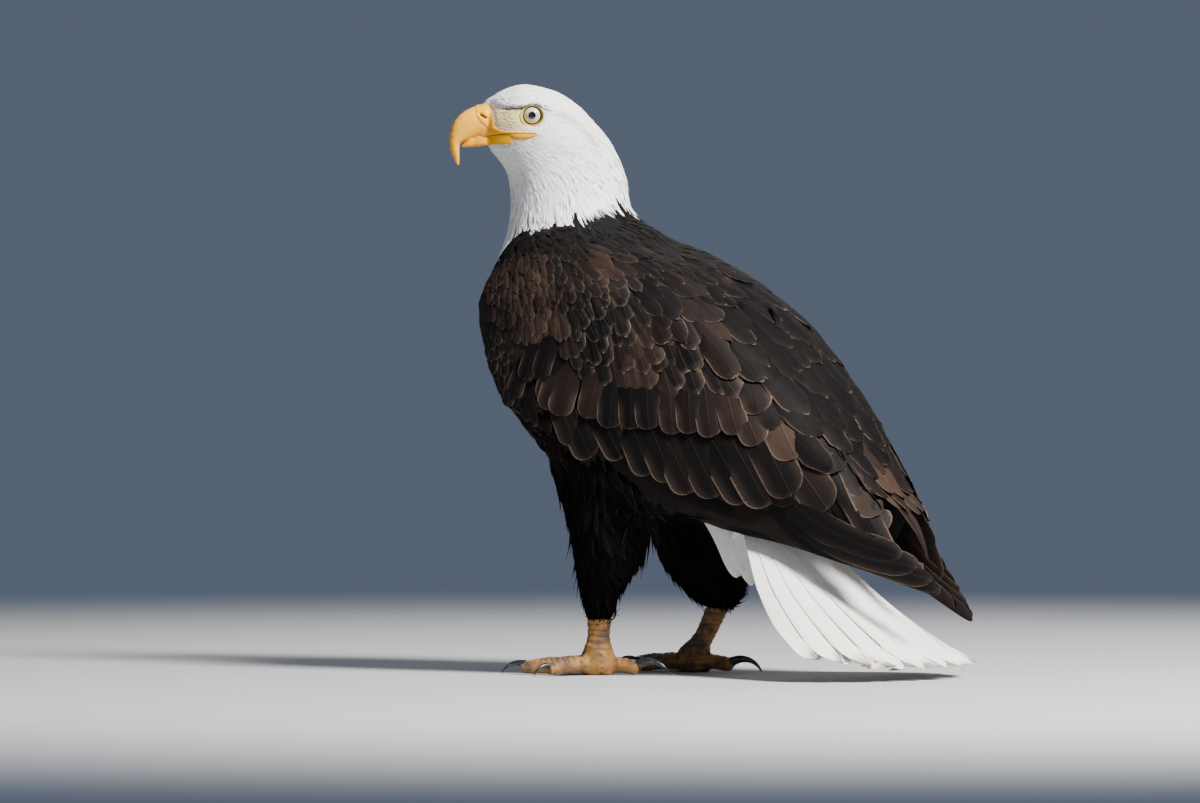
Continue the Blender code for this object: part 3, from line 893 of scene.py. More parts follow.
@dataclass(frozen=True)
class FeatherFinish:
    """Vanes with a shaft, slanting barbs and, on dark feathers, a paler margin."""

    name: str
    barbs: float = 46.0  # bands of barbs from the root to the tip
    slant: float = 9.0
    relief: float = 0.00014
    roughness: float = 0.62
    contrast: float = 1.0
    glow: float = 0.17
    gloss: float = 0.15
    edge: float = 0.87
    margin: tuple = (0.200, 0.140, 0.105, 1.0)
    shaft: float = 0.03

    def make(self) -> bpy.types.Material:
        """The material, which reads the colour, the margin's strength and the vane's own map.

        Returns:
            The material.
        """
        n = Paint(self.name)
        own = n.add("ShaderNodeSeparateXYZ", {0: n.add("ShaderNodeUVMap", uv_map=VANE_MAP).outputs[0]})
        across, along = Term(n, own.outputs[0]), Term(n, own.outputs[1])
        aside = n.math("ABSOLUTE", across * 2 - 1)
        fray = n.noise(420, 2) * 0.16 - 0.08
        barb = n.math("SINE", (along * self.barbs - aside * self.slant + fray * 6) * math.tau) * 0.5 + 0.5
        shaft = 1 - n.between(self.shaft, self.shaft * 2.2, aside)
        out = n.math("MAXIMUM", aside, along * 3 - 2) + fray
        pale = n.value("pale") * n.between(0.25, 0.50, along)
        glow = n.between(0.35, 1.0, out) * pale * self.glow
        rim = n.between(self.edge, 0.98, out) * pale
        colour = n.mix(n.math("ADD", glow, rim * 0.65, clamp=True), n.coat(), self.margin)
        mottle = n.noise(160, 4) * (0.50 * self.contrast) + (1 - 0.25 * self.contrast)
        root = n.between(0.0, 0.5, along) * (0.22 * self.contrast) + (1 - 0.22 * self.contrast)
        shade = (barb * (0.18 * self.contrast) + (1 - 0.12 * self.contrast)) * mottle * root
        colour = n.mix(1.0, colour, n.grey(shade), "MULTIPLY")
        lit = n.mix(1.0, colour, (1.7, 1.6, 1.5, 1.0), "MULTIPLY")
        colour = n.mix(shaft * (0.15 * self.contrast), colour, lit)
        height = barb * 0.6 + shaft * 1.6
        return n.finish(colour, self.roughness, height, self.relief, Specular_IOR_Level=self.gloss)


@dataclass(frozen=True)
class SkinFinish:
    """The skin under the feathers, in the plumage's own colours and with their lie as fine ridges."""

    name: str = "skin"

    def make(self) -> bpy.types.Material:
        """The material.

        Returns:
            The material.
        """
        n = Paint(self.name)
        streaks = n.noise(300, 4, (1.0, 1.0, 0.3))
        colour = n.mix(1.0, n.coat(), n.grey(streaks * 0.16 + 0.88), "MULTIPLY")
        return n.finish(colour, 0.75, streaks, 0.0012, Specular_IOR_Level=0.25)


@dataclass(frozen=True)
class HornFinish:
    """Bill horn: orange-yellow, paler to the hook's tip, deeper at the cere, with faint growth lines."""

    name: str
    base: tuple = (1.0, 0.49, 0.030, 1.0)
    tip: tuple = (0.86, 0.42, 0.012, 1.0)
    cere: tuple = (0.92, 0.41, 0.0, 1.0)
    tint: tuple = (0.40, 0.17, 0.06, 1.0)
    # near black: painted shade in the nostril's hollow and along the mouth's line
    slit: tuple = (0.060, 0.022, 0.006, 1.0)

    def make(self) -> bpy.types.Material:
        """The material. It reads the cere, the height and the painted shade of nostril and mouth from the
        mesh.

        Returns:
            The material.
        """
        n = Paint(self.name)
        colour = n.mix(n.between(0.35, 1.0, n.value("low")), self.base, self.tip)
        colour = n.mix(n.value("cere"), colour, self.cere)
        colour = n.mix(n.between(0.52, 0.72, n.noise(110, 5)) * 0.22, colour, self.tint)
        colour = n.mix(n.between(0.66, 0.74, n.noise(420, 2)) * 0.35, colour, self.tint)
        # painted shade: the nostril and the mouth's line are made near black
        colour = n.mix(n.value("dark"), colour, self.slit)
        growth = n.noise(260, 3, (1.0, 1.0, 0.25)) * 0.6 + n.noise(900) * 0.25
        n.shader.inputs["Subsurface Radius"].default_value = (0.004, 0.0015, 0.0005)
        return n.finish(colour, n.noise(150) * 0.25 + 0.30, growth, 0.00025, Specular_IOR_Level=0.25,
                        Subsurface_Weight=0.02, Subsurface_Scale=0.4, Coat_Weight=0.06, Coat_Roughness=0.25)


@dataclass(frozen=True)
class ScaleFinish:
    """The scaly skin of the feet: yellow plates, painted darker as the body's shade over the feet, with brown
    grime and darker creases.
    """

    name: str = "foot_skin"
    # painted shade: the yellow is darkened for the body's shadow over the feet
    plate: tuple = (0.44, 0.205, 0.036, 1.0)
    crease_and_dirt: tuple = (0.050, 0.038, 0.032, 1.0)

    def make(self) -> bpy.types.Material:
        """The material. It reads the height of the plates from a value stored on the mesh.

        Returns:
            The material.
        """
        n = Paint(self.name)
        inputs = {"Vector": n.place(), "Scale": 620.0}
        cells = n.add("ShaderNodeTexVoronoi", inputs, feature="DISTANCE_TO_EDGE")
        pebble = n.between(0.0, 0.16, cells.outputs["Distance"])
        grime = n.between(0.36, 0.64, n.noise(75, 5))
        darkened = n.math("ADD", n.value("crease") * 0.55, grime * 0.65, clamp=True)
        darkened = n.math("ADD", darkened, (1 - pebble) * 0.35, clamp=True)
        colour = n.mix(darkened, self.plate, self.crease_and_dirt)
        return n.finish(colour, darkened * 0.25 + 0.42, pebble * 0.7 + n.noise(700) * 0.4, 0.00045,
                        Specular_IOR_Level=0.45)


@dataclass(frozen=True)
class ClawFinish:
    """Black horn with a soft bluish gloss and scratches along it."""

    name: str = "claw_horn"
    horn: tuple = (0.010, 0.011, 0.014, 1.0)
    worn: tuple = (0.045, 0.045, 0.050, 1.0)

    def make(self) -> bpy.types.Material:
        """The material.

        Returns:
            The material.
        """
        n = Paint(self.name)
        scratch = n.noise(500, 4, (0.3, 0.3, 1.0))
        colour = n.mix(n.between(0.45, 0.75, scratch), self.horn, self.worn)
        return n.finish(colour, scratch * 0.22 + 0.16, scratch, 0.00012, Coat_Weight=0.3, Coat_Roughness=0.2)


@dataclass(frozen=True)
class EyeFinish:
    """A pale cream iris with a dark rim and fine spokes round a small black pupil, under a wet gloss."""

    name: str
    centre: tuple
    axis: tuple
    pupil: float = 0.33
    iris: float = 0.740
    spokes: tuple = ((0.64, 0.58, 0.43, 1.0), (0.84, 0.79, 0.63, 1.0))
    amber: tuple = (0.45, 0.36, 0.16, 1.0)
    ring: tuple = (0.010, 0.009, 0.008, 1.0)
    shadow: tuple = (0.20, 0.15, 0.08, 1.0)
    black: tuple = (0.002, 0.002, 0.002, 1.0)

    def make(self) -> bpy.types.Material:
        """The material, which reads the angle from the eye's own axis.

        Returns:
            The material.
        """
        n = Paint(self.name)
        ray = n.vector("NORMALIZE", n.vector("SUBTRACT", n.place(), self.centre))
        facing = Term(n, n.vector("DOT_PRODUCT", ray, self.axis))
        out = n.math("SQRT", n.math("MAXIMUM", 1 - facing * facing, 0.0))
        colour = n.mix(n.between(0.35, 0.70, n.noise(26, 4, where=ray)), *self.spokes)
        colour = n.mix(n.between(0.40, 0.66, out) * 0.35, colour, self.amber)
        colour = n.mix(n.between(self.iris - 0.070, self.iris - 0.035, out), colour, self.ring)
        rim = 1 - n.between(self.pupil * 1.1, self.pupil * 1.9, out)
        colour = n.mix(rim * 0.45, colour, self.shadow)
        colour = n.mix(1 - n.between(self.pupil * 0.86, self.pupil * 1.12, out), colour, self.black)
        return n.finish(colour, 0.05, Coat_Weight=1.0, Coat_Roughness=0.02, Specular_IOR_Level=0.6)


@dataclass(frozen=True)
class LidFinish:
    """Bare yellow skin of the eye's ring, finely wrinkled and shaded under the brow."""

    name: str
    colour: tuple = (0.52, 0.37, 0.060, 1.0)
    crease: tuple = (0.30, 0.20, 0.060, 1.0)
    shaded: tuple = (0.085, 0.060, 0.045, 1.0)

    def make(self) -> bpy.types.Material:
        """The material.

        Returns:
            The material.
        """
        n = Paint(self.name)
        fine = n.noise(900, 4)
        colour = n.mix(n.between(0.50, 0.75, fine), self.colour, self.crease)
        colour = n.mix(n.value("shade"), colour, self.shaded)
        return n.finish(colour, 0.50, fine, 0.0003, Specular_IOR_Level=0.2)


@dataclass(frozen=True)
class FloorFinish:
    """A plain pale matt floor that fades out at its edge."""

    name: str = "floor"
    near: float = 0.9
    far: float = 2.6

    def make(self) -> bpy.types.Material:
        """The material.

        Returns:
            The material.
        """
        n = Paint(self.name)
        shown = 1 - n.between(self.near, self.far, n.vector("LENGTH", n.place()))
        return n.finish(n.grey(n.noise(6, 2) * 0.02 + 0.44), 0.85, Specular_IOR_Level=0.2, Alpha=shown)


def dress(piece: Thing, material: bpy.types.Material, slot: str, *nodes: str) -> None:
    """Gives a finished piece its material and its body, and hides the solids that it stands for.

    Args:
        piece: the piece.
        material: its finish.
        slot: not used.
        nodes: the solids' nodes.
    """
    piece.data.materials.clear()
    piece.data.materials.append(material)
    if nodes:
        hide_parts(*nodes)
    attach(piece, ROOT)
    piece.data.calc_loop_triangles()
    LOG.info("%s: %d triangles", piece.name, len(piece.data.loop_triangles))


# ---------------------------------------------------------------- skin
@dataclass
class Skin:
    """One closed skin for head, neck, trunk, wings and thighs, inside the solids by the depth of the coat."""

    voxel: float = 0.0032
    fill: float = 0.013  # grooves narrower than twice this are bridged
    rounds: int = 3
    thin_share: float = 0.36  # the most of a thin place's thickness that the coat takes
    crowding: float = 3.6  # how many roots are tried for each that fits
    nodes: tuple = ("head", "neck", "trunk", "wing_left", "wing_right", "thigh_left", "thigh_right")
    body: Thing = field(init=False)
    points: Array = field(init=False)
    normals: Array = field(init=False)
    triangles: Array = field(init=False)
    maps: Array = field(init=False)

    def build(self) -> None:
        """Makes the skin from the solids, sinks it and unwraps it."""
        self.body = body = remeshed(copy_of("skin", *self.nodes), self.voxel, 1)
        remeshed(body, self.voxel, 1, self.fill)
        remeshed(body, self.voxel, self.rounds, -self.fill)
        keep_largest(body)
        self.refine_face()
        self.sink()
        self.unwrap()
        self.points, self.triangles = arrays(body.data)
        self.normals = normals_of(body)
        add_values(body.data, "outward", self.normals, "FLOAT_VECTOR")
        found = PLUMAGE.at(self.points, self.normals)
        rear = (found["tract"] == Tract.TAIL.value) & on_trunk(self.points)
        colours = coat_colour(self.points, found["brown"], np.random.default_rng(SEED), rear)
        add_values(body.data, "coat", colours, "FLOAT_COLOR")

    def refine_face(self) -> None:
        """Gives the face smaller faces than the rest."""
        with edited(self.body) as shell:
            ahead, _, up = HEAD.local(np.array([edge.verts[0].co for edge in shell.edges]))
            chosen = [edge for edge, fine in zip(shell.edges, (ahead > 0.010) & (up > 0.500)) if fine]
            bmesh.ops.subdivide_edges(shell, edges=chosen, cuts=2, use_grid_fill=True)
        self.body.data.shade_smooth()

    @staticmethod
    def standing(points: Array) -> Array:
        """How far the brow, the steep forehead and the full nape stand out over the plain form of the head.

        Args:
            points: places on the skin.

        Returns:
            A height for each.
        """
        ahead, aside, up = HEAD.local(points)
        back = EYE_AHEAD - ahead
        over = up - EYE_HEIGHT - brow_height(back)
        brow = 0.0019 * hump(over - 0.0024, 0.0020) - 0.0012 * hump(over + 0.0006, 0.0012)
        brow *= brow_reach(back) * (np.abs(aside) > 0.010)
        forehead = ramp(0.018, 0.052, ahead) * ramp(0.0780, 0.0620, ahead) * ramp(0.5420, 0.5520, up)
        nape = ramp(0.0, -0.030, ahead) * ramp(0.532, 0.508, up) * ramp(0.445, 0.480, up)
        nape *= ramp(0.045, 0.020, np.abs(aside))
        return brow + 0.0042 * forehead + 0.0040 * nape

    @staticmethod
    def tongue(points: Array) -> Array:
        """How far the forehead's front is pushed ahead over the bill.

        Args:
            points: places on the skin.

        Returns:
            One row for each.
        """
        ahead, aside, up = HEAD.local(points)
        middle = ramp(0.014, 0.007, np.abs(aside))
        front = 0.0045 * ramp(0.5440, 0.5500, up) * (1 - middle) + table(FRONT, up) * middle
        return (front * ramp(0.0580, 0.0740, ahead))[:, None] * HEAD.forward

    @staticmethod
    def sockets(points: Array) -> Array:
        """The points, with a round hollow for each eye under the edge of its ring.

        Args:
            points: places on the skin.

        Returns:
            The new places.
        """
        for name, axis in EYE_AXES.items():
            rest = points - middle_of(f"eye_{name}")
            high = rest @ axis
            out = np.linalg.norm(rest - high[:, None] * axis, axis=1)
            floor = np.sqrt(EYE_BALL**2 - np.minimum(out, 0.95 * EYE_BALL) ** 2) - 0.0012
            share = ramp(0.0108, 0.0092, out) * (high > 0)
            points = points + (share * np.minimum(floor - high, 0))[:, None] * axis
        return points

    def sink(self) -> None:
        """Moves the surface in by the depth of the coat, or by a part of the thickness where it is thin."""
        points, normals = arrays(self.body.data)[0], normals_of(self.body)
        depth = PLUMAGE.at(points, normals)["depth"]
        tree = tree_of(self.body)
        for index, (point, normal) in enumerate(zip(points, normals)):
            thickness = tree.ray_cast(Vector(point - normal * 1e-4), Vector(-normal), 0.04)[3]
            if thickness is not None:
                depth[index] = min(depth[index], self.thin_share * thickness)
        depth = depth[:, None]
        for _ in range(6):
            total, count = neighbours(self.body, depth)
            depth = (depth + total) / (count + 1)
        depth = depth - self.standing(points)[:, None]
        put(self.body, self.sockets(points + self.tongue(points) - normals * depth))

    def unwrap(self) -> None:
        """Unwraps the skin's own shape into flat islands."""
        body, mesh = self.body, self.body.data
        mesh.uv_layers.new(name=MAP)
        bpy.context.view_layer.objects.active = body
        body.select_set(True)
        bpy.ops.object.mode_set(mode="EDIT")
        bpy.ops.mesh.select_all(action="SELECT")
        bpy.ops.uv.smart_project(angle_limit=math.radians(75), island_margin=0.002)
        bpy.ops.object.mode_set(mode="OBJECT")
        body.select_set(False)
        mesh.calc_loop_triangles()
        corners = loaded(mesh.loop_triangles, "loops", 3, int)
        self.maps = loaded(mesh.uv_layers[MAP].data, "uv", 2)[corners]

    def scatter(self, rng: Draw) -> dict[str, Array]:
        """Picks the roots of the small feathers, evenly spaced at the distance that each place asks for.

        Args:
            rng: the draw of the places.

        Returns:
            The plumage's arrays at the roots, with point, normal and map.
        """
        corners = self.points[self.triangles]
        one, other = corners[:, 1] - corners[:, 0], corners[:, 2] - corners[:, 0]
        area = np.linalg.norm(np.cross(one, other), axis=1) / 2
        middle, normal = corners.mean(axis=1), unit(self.normals[self.triangles].mean(axis=1))
        spacing = PLUMAGE.at(middle, normal)["spacing"]
        pick = np.repeat(np.arange(len(area)), rng.poisson(area / spacing**2 * self.crowding))
        rng.shuffle(pick)
        shares = rng.dirichlet((1, 1, 1), len(pick))[:, :, None]
        points = (corners[pick] * shares).sum(axis=1)
        keep = thinned(points, spacing[pick] * 0.84)
        normals = unit((self.normals[self.triangles[pick]] * shares).sum(axis=1))[keep]
        maps = (self.maps[pick] * shares).sum(axis=1)[keep]
        return PLUMAGE.at(points[keep], normals) | {"point": points[keep], "normal": normals, "map": maps}

    def finish(self) -> None:
        """Dresses the skin."""
        dress(self.body, SkinFinish().make(), "plumage_dark", *self.nodes)


def thinned(points: Array, gaps: Array) -> Array:
    """Picks points so that none is nearer to another than its gap.

    Args:
        points: the places.
        gaps: the gap round each.

    Returns:
        The numbers of the points that are left.
    """
    tree = KDTree(len(points))
    for index, point in enumerate(points):
        tree.insert(point, index)
    tree.balance()
    free, kept = np.ones(len(points), bool), []
    for index, point in enumerate(points):
        if free[index]:
            kept.append(index)
            for _, other, _ in tree.find_range(point, gaps[index]):
                free[other] = False
    return np.array(kept)


def picked(roots: dict[str, Array], keep: Array) -> dict[str, Array]:
    """The same arrays for only some of the roots."""
    return {key: value[keep] for key, value in roots.items()}


# ---------------------------------------------------------------- feathers
class Cut(Enum):
    """The outlines of a feather: where its base ends and how wide it starts, then how it closes."""

    FINE = "fine"
    LANCE = "lance"
    ROUND = "round"
    LOOSE = "loose"


def outline(cut: Cut, along: Array) -> Array:
    """The half width of a feather.

    Args:
        cut: the feather's outline.
        along: places from 0 at its root to 1 at its tip.

    Returns:
        Half widths, at most 0.5.
    """
    if cut is Cut.ROUND:
        base = 0.42 + 0.58 * np.clip(along / 0.30, 0, 1) ** 0.8
        end = np.sqrt(np.clip(1 - (np.clip(along - 0.66, 0, 1) / 0.352) ** 2, 0, 1))
    elif cut is Cut.LANCE:
        base = 0.45 + 0.55 * np.clip(along / 0.3, 0, 1)
        end = 1 - np.clip((along - 0.25) / 0.76, 0, 1) ** 1.5
    elif cut is Cut.LOOSE:
        base = 0.5 + 0.5 * np.clip(along / 0.4, 0, 1)
        end = 1 - np.clip((along - 0.5) / 0.52, 0, 1) ** 2.4
    else:
        base = 0.55 + 0.45 * np.clip(along / 0.4, 0, 1)
        end = 1 - 0.86 * along**3
    return 0.5 * base * np.clip(end, 0, 1)


@dataclass(frozen=True)
class Pattern:
    """One small feather of unit length and width: a domed upper side closed by a flat lower side."""

    cut: Cut
    rows: int
    columns: int
    dome: float
    bend: float = 0.0
    notch: float = 0.0

    def build(self, name: str, home: bpy.types.Collection) -> Thing:
        """The feather as an object, with its own map and the values that the tree reads.

        Args:
            name: its name.
            home: the collection that it goes in.

        Returns:
            The object.
        """
        along = 1 - (1 - np.linspace(0, 1, self.rows + 1)) ** 1.35
        side = np.linspace(-1, 1, self.columns + 1)
        half = np.maximum(outline(self.cut, along), 0.02)
        x = (self.bend * along**2)[:, None] + np.outer(half, side)
        tuck = self.notch * np.outer(ramp(0.75, 1.0, along), 1 - np.abs(side))
        y = along[:, None] + 0 * x - tuck - 0.05 * np.outer(ramp(0.55, 1, along), side**2)
        bulk = self.dome * np.outer(0.35 + 0.65 * np.minimum(1, 3 * (1 - along)), 1 - side**2)
        wide, last = self.columns + 1, self.rows * (self.columns + 1)
        faces = []
        for a in range(0, last, wide):
            faces += [(c, c + 1, c + wide + 1, c + wide) for c in range(a, a + self.columns)]
            faces.append((a, a + wide, a + wide + self.columns, a + self.columns))
        faces += [tuple(range(wide))[::-1], tuple(range(last, last + wide))]
        made = new_object(name, np.stack([x, y, 0 * x], axis=-1).reshape(-1, 3), faces)
        made.data.set_sharp_from_angle(angle=1.0)
        bpy.context.scene.collection.objects.unlink(made)
        home.objects.link(made)
        add_values(made.data, "rise", along[:, None] + 0 * x)
        add_values(made.data, "bulk", bulk)
        own = np.stack([np.tile((side + 1) / 2, self.rows + 1), np.repeat(along, wide)], axis=-1)
        add_values(made.data, VANE_MAP, own[corners_of(made.data)], "FLOAT2", "CORNER")
        return made


def corners_of(mesh: Mesh) -> Array:
    """The number of the vertex at each corner."""
    return loaded(mesh.loops, "vertex_index", 1, int)


class CoatTree(Graph):
    """The node tree that sets a feather on every root and lays it along the skin."""

    INPUTS = {"Skin": "Object", "Patterns": "Collection", "Base": "Float", "Follow": "Float",
              "Material": "Material"}
    ROOT_VALUES = {"turn": "QUATERNION", "size": "FLOAT_VECTOR", "lift": "FLOAT", "stand": "FLOAT",
                   "coat": "FLOAT_COLOR", "pale": "FLOAT", "pattern": "INT", "root_up": "FLOAT_VECTOR",
                   "root_map": "FLOAT_VECTOR"}
    KEPT_VALUES = ("coat", "pale")

    def __init__(self) -> None:
        """Names the inputs and builds the tree."""
        super().__init__(bpy.data.node_groups.new("feather_coat", "GeometryNodeTree"))
        new_socket = self.tree.interface.new_socket
        new_socket("Roots", in_out="INPUT", socket_type="NodeSocketGeometry")
        self.sockets = {name: new_socket(name, in_out="INPUT", socket_type=f"NodeSocket{kind}").identifier
                        for name, kind in self.INPUTS.items()}
        new_socket("Feathers", in_out="OUTPUT", socket_type="NodeSocketGeometry")
        self.build()

    def stored(self, name: str, kind: str = "FLOAT") -> Term:
        """A value stored on the geometry."""
        found = self.add("GeometryNodeInputNamedAttribute", {"Name": name}, data_type=kind)
        return Term(self, next(out for out in found.outputs if out.enabled))

    def build(self) -> None:
        """Lays out the nodes."""
        given = self.add("NodeGroupInput").outputs
        choice = {"Collection": given["Patterns"], "Separate Children": True, "Reset Children": True}
        placed = self.add("GeometryNodeInstanceOnPoints", {
            "Points": given["Roots"], "Instance": self.add("GeometryNodeCollectionInfo", choice).outputs[0],
            "Pick Instance": True, "Instance Index": self.stored("pattern", "INT"),
            "Rotation": self.stored("turn", "QUATERNION"), "Scale": self.stored("size", "FLOAT_VECTOR"),
        })
        real = self.add("GeometryNodeRealizeInstances", {"Geometry": placed.outputs[0]}).outputs[0]
        skin = self.add("GeometryNodeObjectInfo", {"Object": given["Skin"]}).outputs["Geometry"]
        broad = self.add("ShaderNodeSeparateXYZ", {0: self.stored("size", "FLOAT_VECTOR")}).outputs[0]
        rise = self.stored("rise")
        height = self.stored("lift") * rise + self.stored("bulk") * broad
        height = height + self.stored("stand") * self.math("POWER", rise, 2.0) + given["Base"]
        for _ in range(2):
            real = self.lay(real, skin, height, given["Follow"])
        done = self.add("GeometryNodeSetMaterial", {"Geometry": real, "Material": given["Material"]})
        self.add("NodeGroupOutput", {0: done.outputs[0]})

    def lay(self, geometry: Socket, skin: Socket, height: Term, follow: Socket) -> Socket:
        """Moves every vertex to its height over the skin.

        Args:
            geometry: the feathers.
            skin: the surface.
            height: how far over it each vertex lies.
            follow: 1 for the whole way there, 0 for the part of it along the root's own normal.

        Returns:
            The moved feathers.
        """
        here = self.add("GeometryNodeInputPosition").outputs[0]
        surface, outward = (
            self.add("GeometryNodeSampleNearestSurface", {"Mesh": skin, "Value": value},
                     data_type="FLOAT_VECTOR").outputs["Value"]
            for value in (here, self.stored("outward", "FLOAT_VECTOR"))
        )
        raised = self.scaled(self.vector("NORMALIZE", outward), height)
        move = self.vector("SUBTRACT", self.vector("ADD", surface, raised), here)
        up = self.stored("root_up", "FLOAT_VECTOR")
        straight = self.scaled(up, self.vector("DOT_PRODUCT", move, up))
        mixed = self.add("ShaderNodeMix", {0: follow, 4: straight, 5: move}, data_type="VECTOR").outputs[1]
        return self.add("GeometryNodeSetPosition", {"Geometry": geometry, "Offset": mixed}).outputs[0]

    def scaled(self, vector: object, scale: object) -> Socket:
        """A vector at another length."""
        return self.add("ShaderNodeVectorMath", {0: vector, "Scale": scale}, operation="SCALE").outputs[0]

    def grow(self, name: str, roots: dict[str, Array], inputs: dict[str, object]) -> Thing:
        """Grows one piece of the coat.

        Args:
            name: the piece's name.
            roots: the arrays of the roots, with point, map and each name in ROOT_VALUES.
            inputs: a value for each of INPUTS.

        Returns:
            The coat as a plain mesh, in which each feather has a small patch of the skin's map.
        """
        coat = new_object(name, roots["point"], [])
        for key, kind in self.ROOT_VALUES.items():
            add_values(coat.data, key, roots[key], kind)
        grow = coat.modifiers.new("feathers", "NODES")
        grow.node_group = self.tree
        for key, value in inputs.items():
            grow[self.sockets[key]] = value
        apply_modifiers(coat)
        mesh = coat.data
        root = loaded(mesh.attributes["root_map"].data, "vector", 3)[corners_of(mesh), :2]
        own = loaded(mesh.attributes[VANE_MAP].data, "vector", 2)
        add_map(mesh, MAP, np.clip(root + (own - 0.5) * PATCH, 0, 1))
        for spare in {"rise", "bulk", *self.ROOT_VALUES}.difference(self.KEPT_VALUES):
            mesh.attributes.remove(mesh.attributes[spare])
        mesh.shade_smooth()
        return coat


def variants(cut: Cut, rows: int, columns: int, dome: float, *others: tuple) -> tuple[Pattern, ...]:
    """A feather and others like it.

    Args:
        cut: the outline.
        rows: steps from the root to the tip.
        columns: steps from side to side.
        dome: how domed each is.
        others: the bend, the notch and, where it isn't the same, the outline of each of the others.

    Returns:
        The patterns.
    """
    made = [Pattern(cut, rows, columns, dome)]
    for bend, notch, *shape in others:
        made.append(Pattern(shape[0] if shape else cut, rows, columns, dome, bend, notch))
    return tuple(made)


@dataclass(frozen=True)
class TractDress:
    """How one region's feathers are shaped, and how freely they stand."""

    tract: Tract
    patterns: tuple
    finish: FeatherFinish
    follow: float  # 1 where feathers wrap the surface, 0 where they only rise and fall over it
    stand: float
    slot: str = "plumage_dark"
    broad: float = 1.0  # widens every feather


DRESSES = (
    TractDress(Tract.FACE, variants(Cut.FINE, 2, 2, 0.09, (0.12, 0)),
               FeatherFinish("feathers_face", 4, 1.5, 0.00005, 0.72, 0.25), 0.9, 0.0, "plumage_white", 1.45),
    TractDress(Tract.NECK, variants(Cut.LANCE, 4, 2, 0.13, (0.3, 0), (-0.3, 0)),
               FeatherFinish("feathers_neck", 9, 2.5, 0.00008, 0.68, 0.3), 0.85, 0.07, "plumage_white", 1.15),
    TractDress(Tract.MANTLE, variants(Cut.ROUND, 9, 6, 0.075, (0.06, 0.05), (-0.06, 0, Cut.LOOSE)),
               FeatherFinish("feathers_mantle", 30, 7, roughness=0.58, glow=0.08, gloss=0.05), 0.85, 0.03),
    TractDress(Tract.BREAST, variants(Cut.LOOSE, 5, 4, 0.10, (0.08, 0), (-0.08, 0, Cut.LANCE)),
               FeatherFinish("feathers_breast", 14, 4, roughness=0.60, gloss=0.06), 0.8, 0.05),
    TractDress(Tract.WING, variants(Cut.ROUND, 8, 6, 0.075, (0.06, 0), (-0.06, 0.06)),
               FeatherFinish("feathers_wing", 22, 6, roughness=0.56, glow=0.22, gloss=0.10), 0.35, 0.03),
    TractDress(Tract.TAIL, variants(Cut.ROUND, 7, 4, 0.09, (0.08, 0)),
               FeatherFinish("feathers_tail_coverts", 20, 5, 0.00012, 0.66, 0.5), 0.7, 0.02, "plumage_white"),
    TractDress(Tract.LEG, variants(Cut.LANCE, 4, 2, 0.14, (0.4, 0), (-0.4, 0, Cut.LOOSE)),
               FeatherFinish("feathers_leg", 10, 3, roughness=0.70, gloss=0.02), 0.25, 0.22),
)


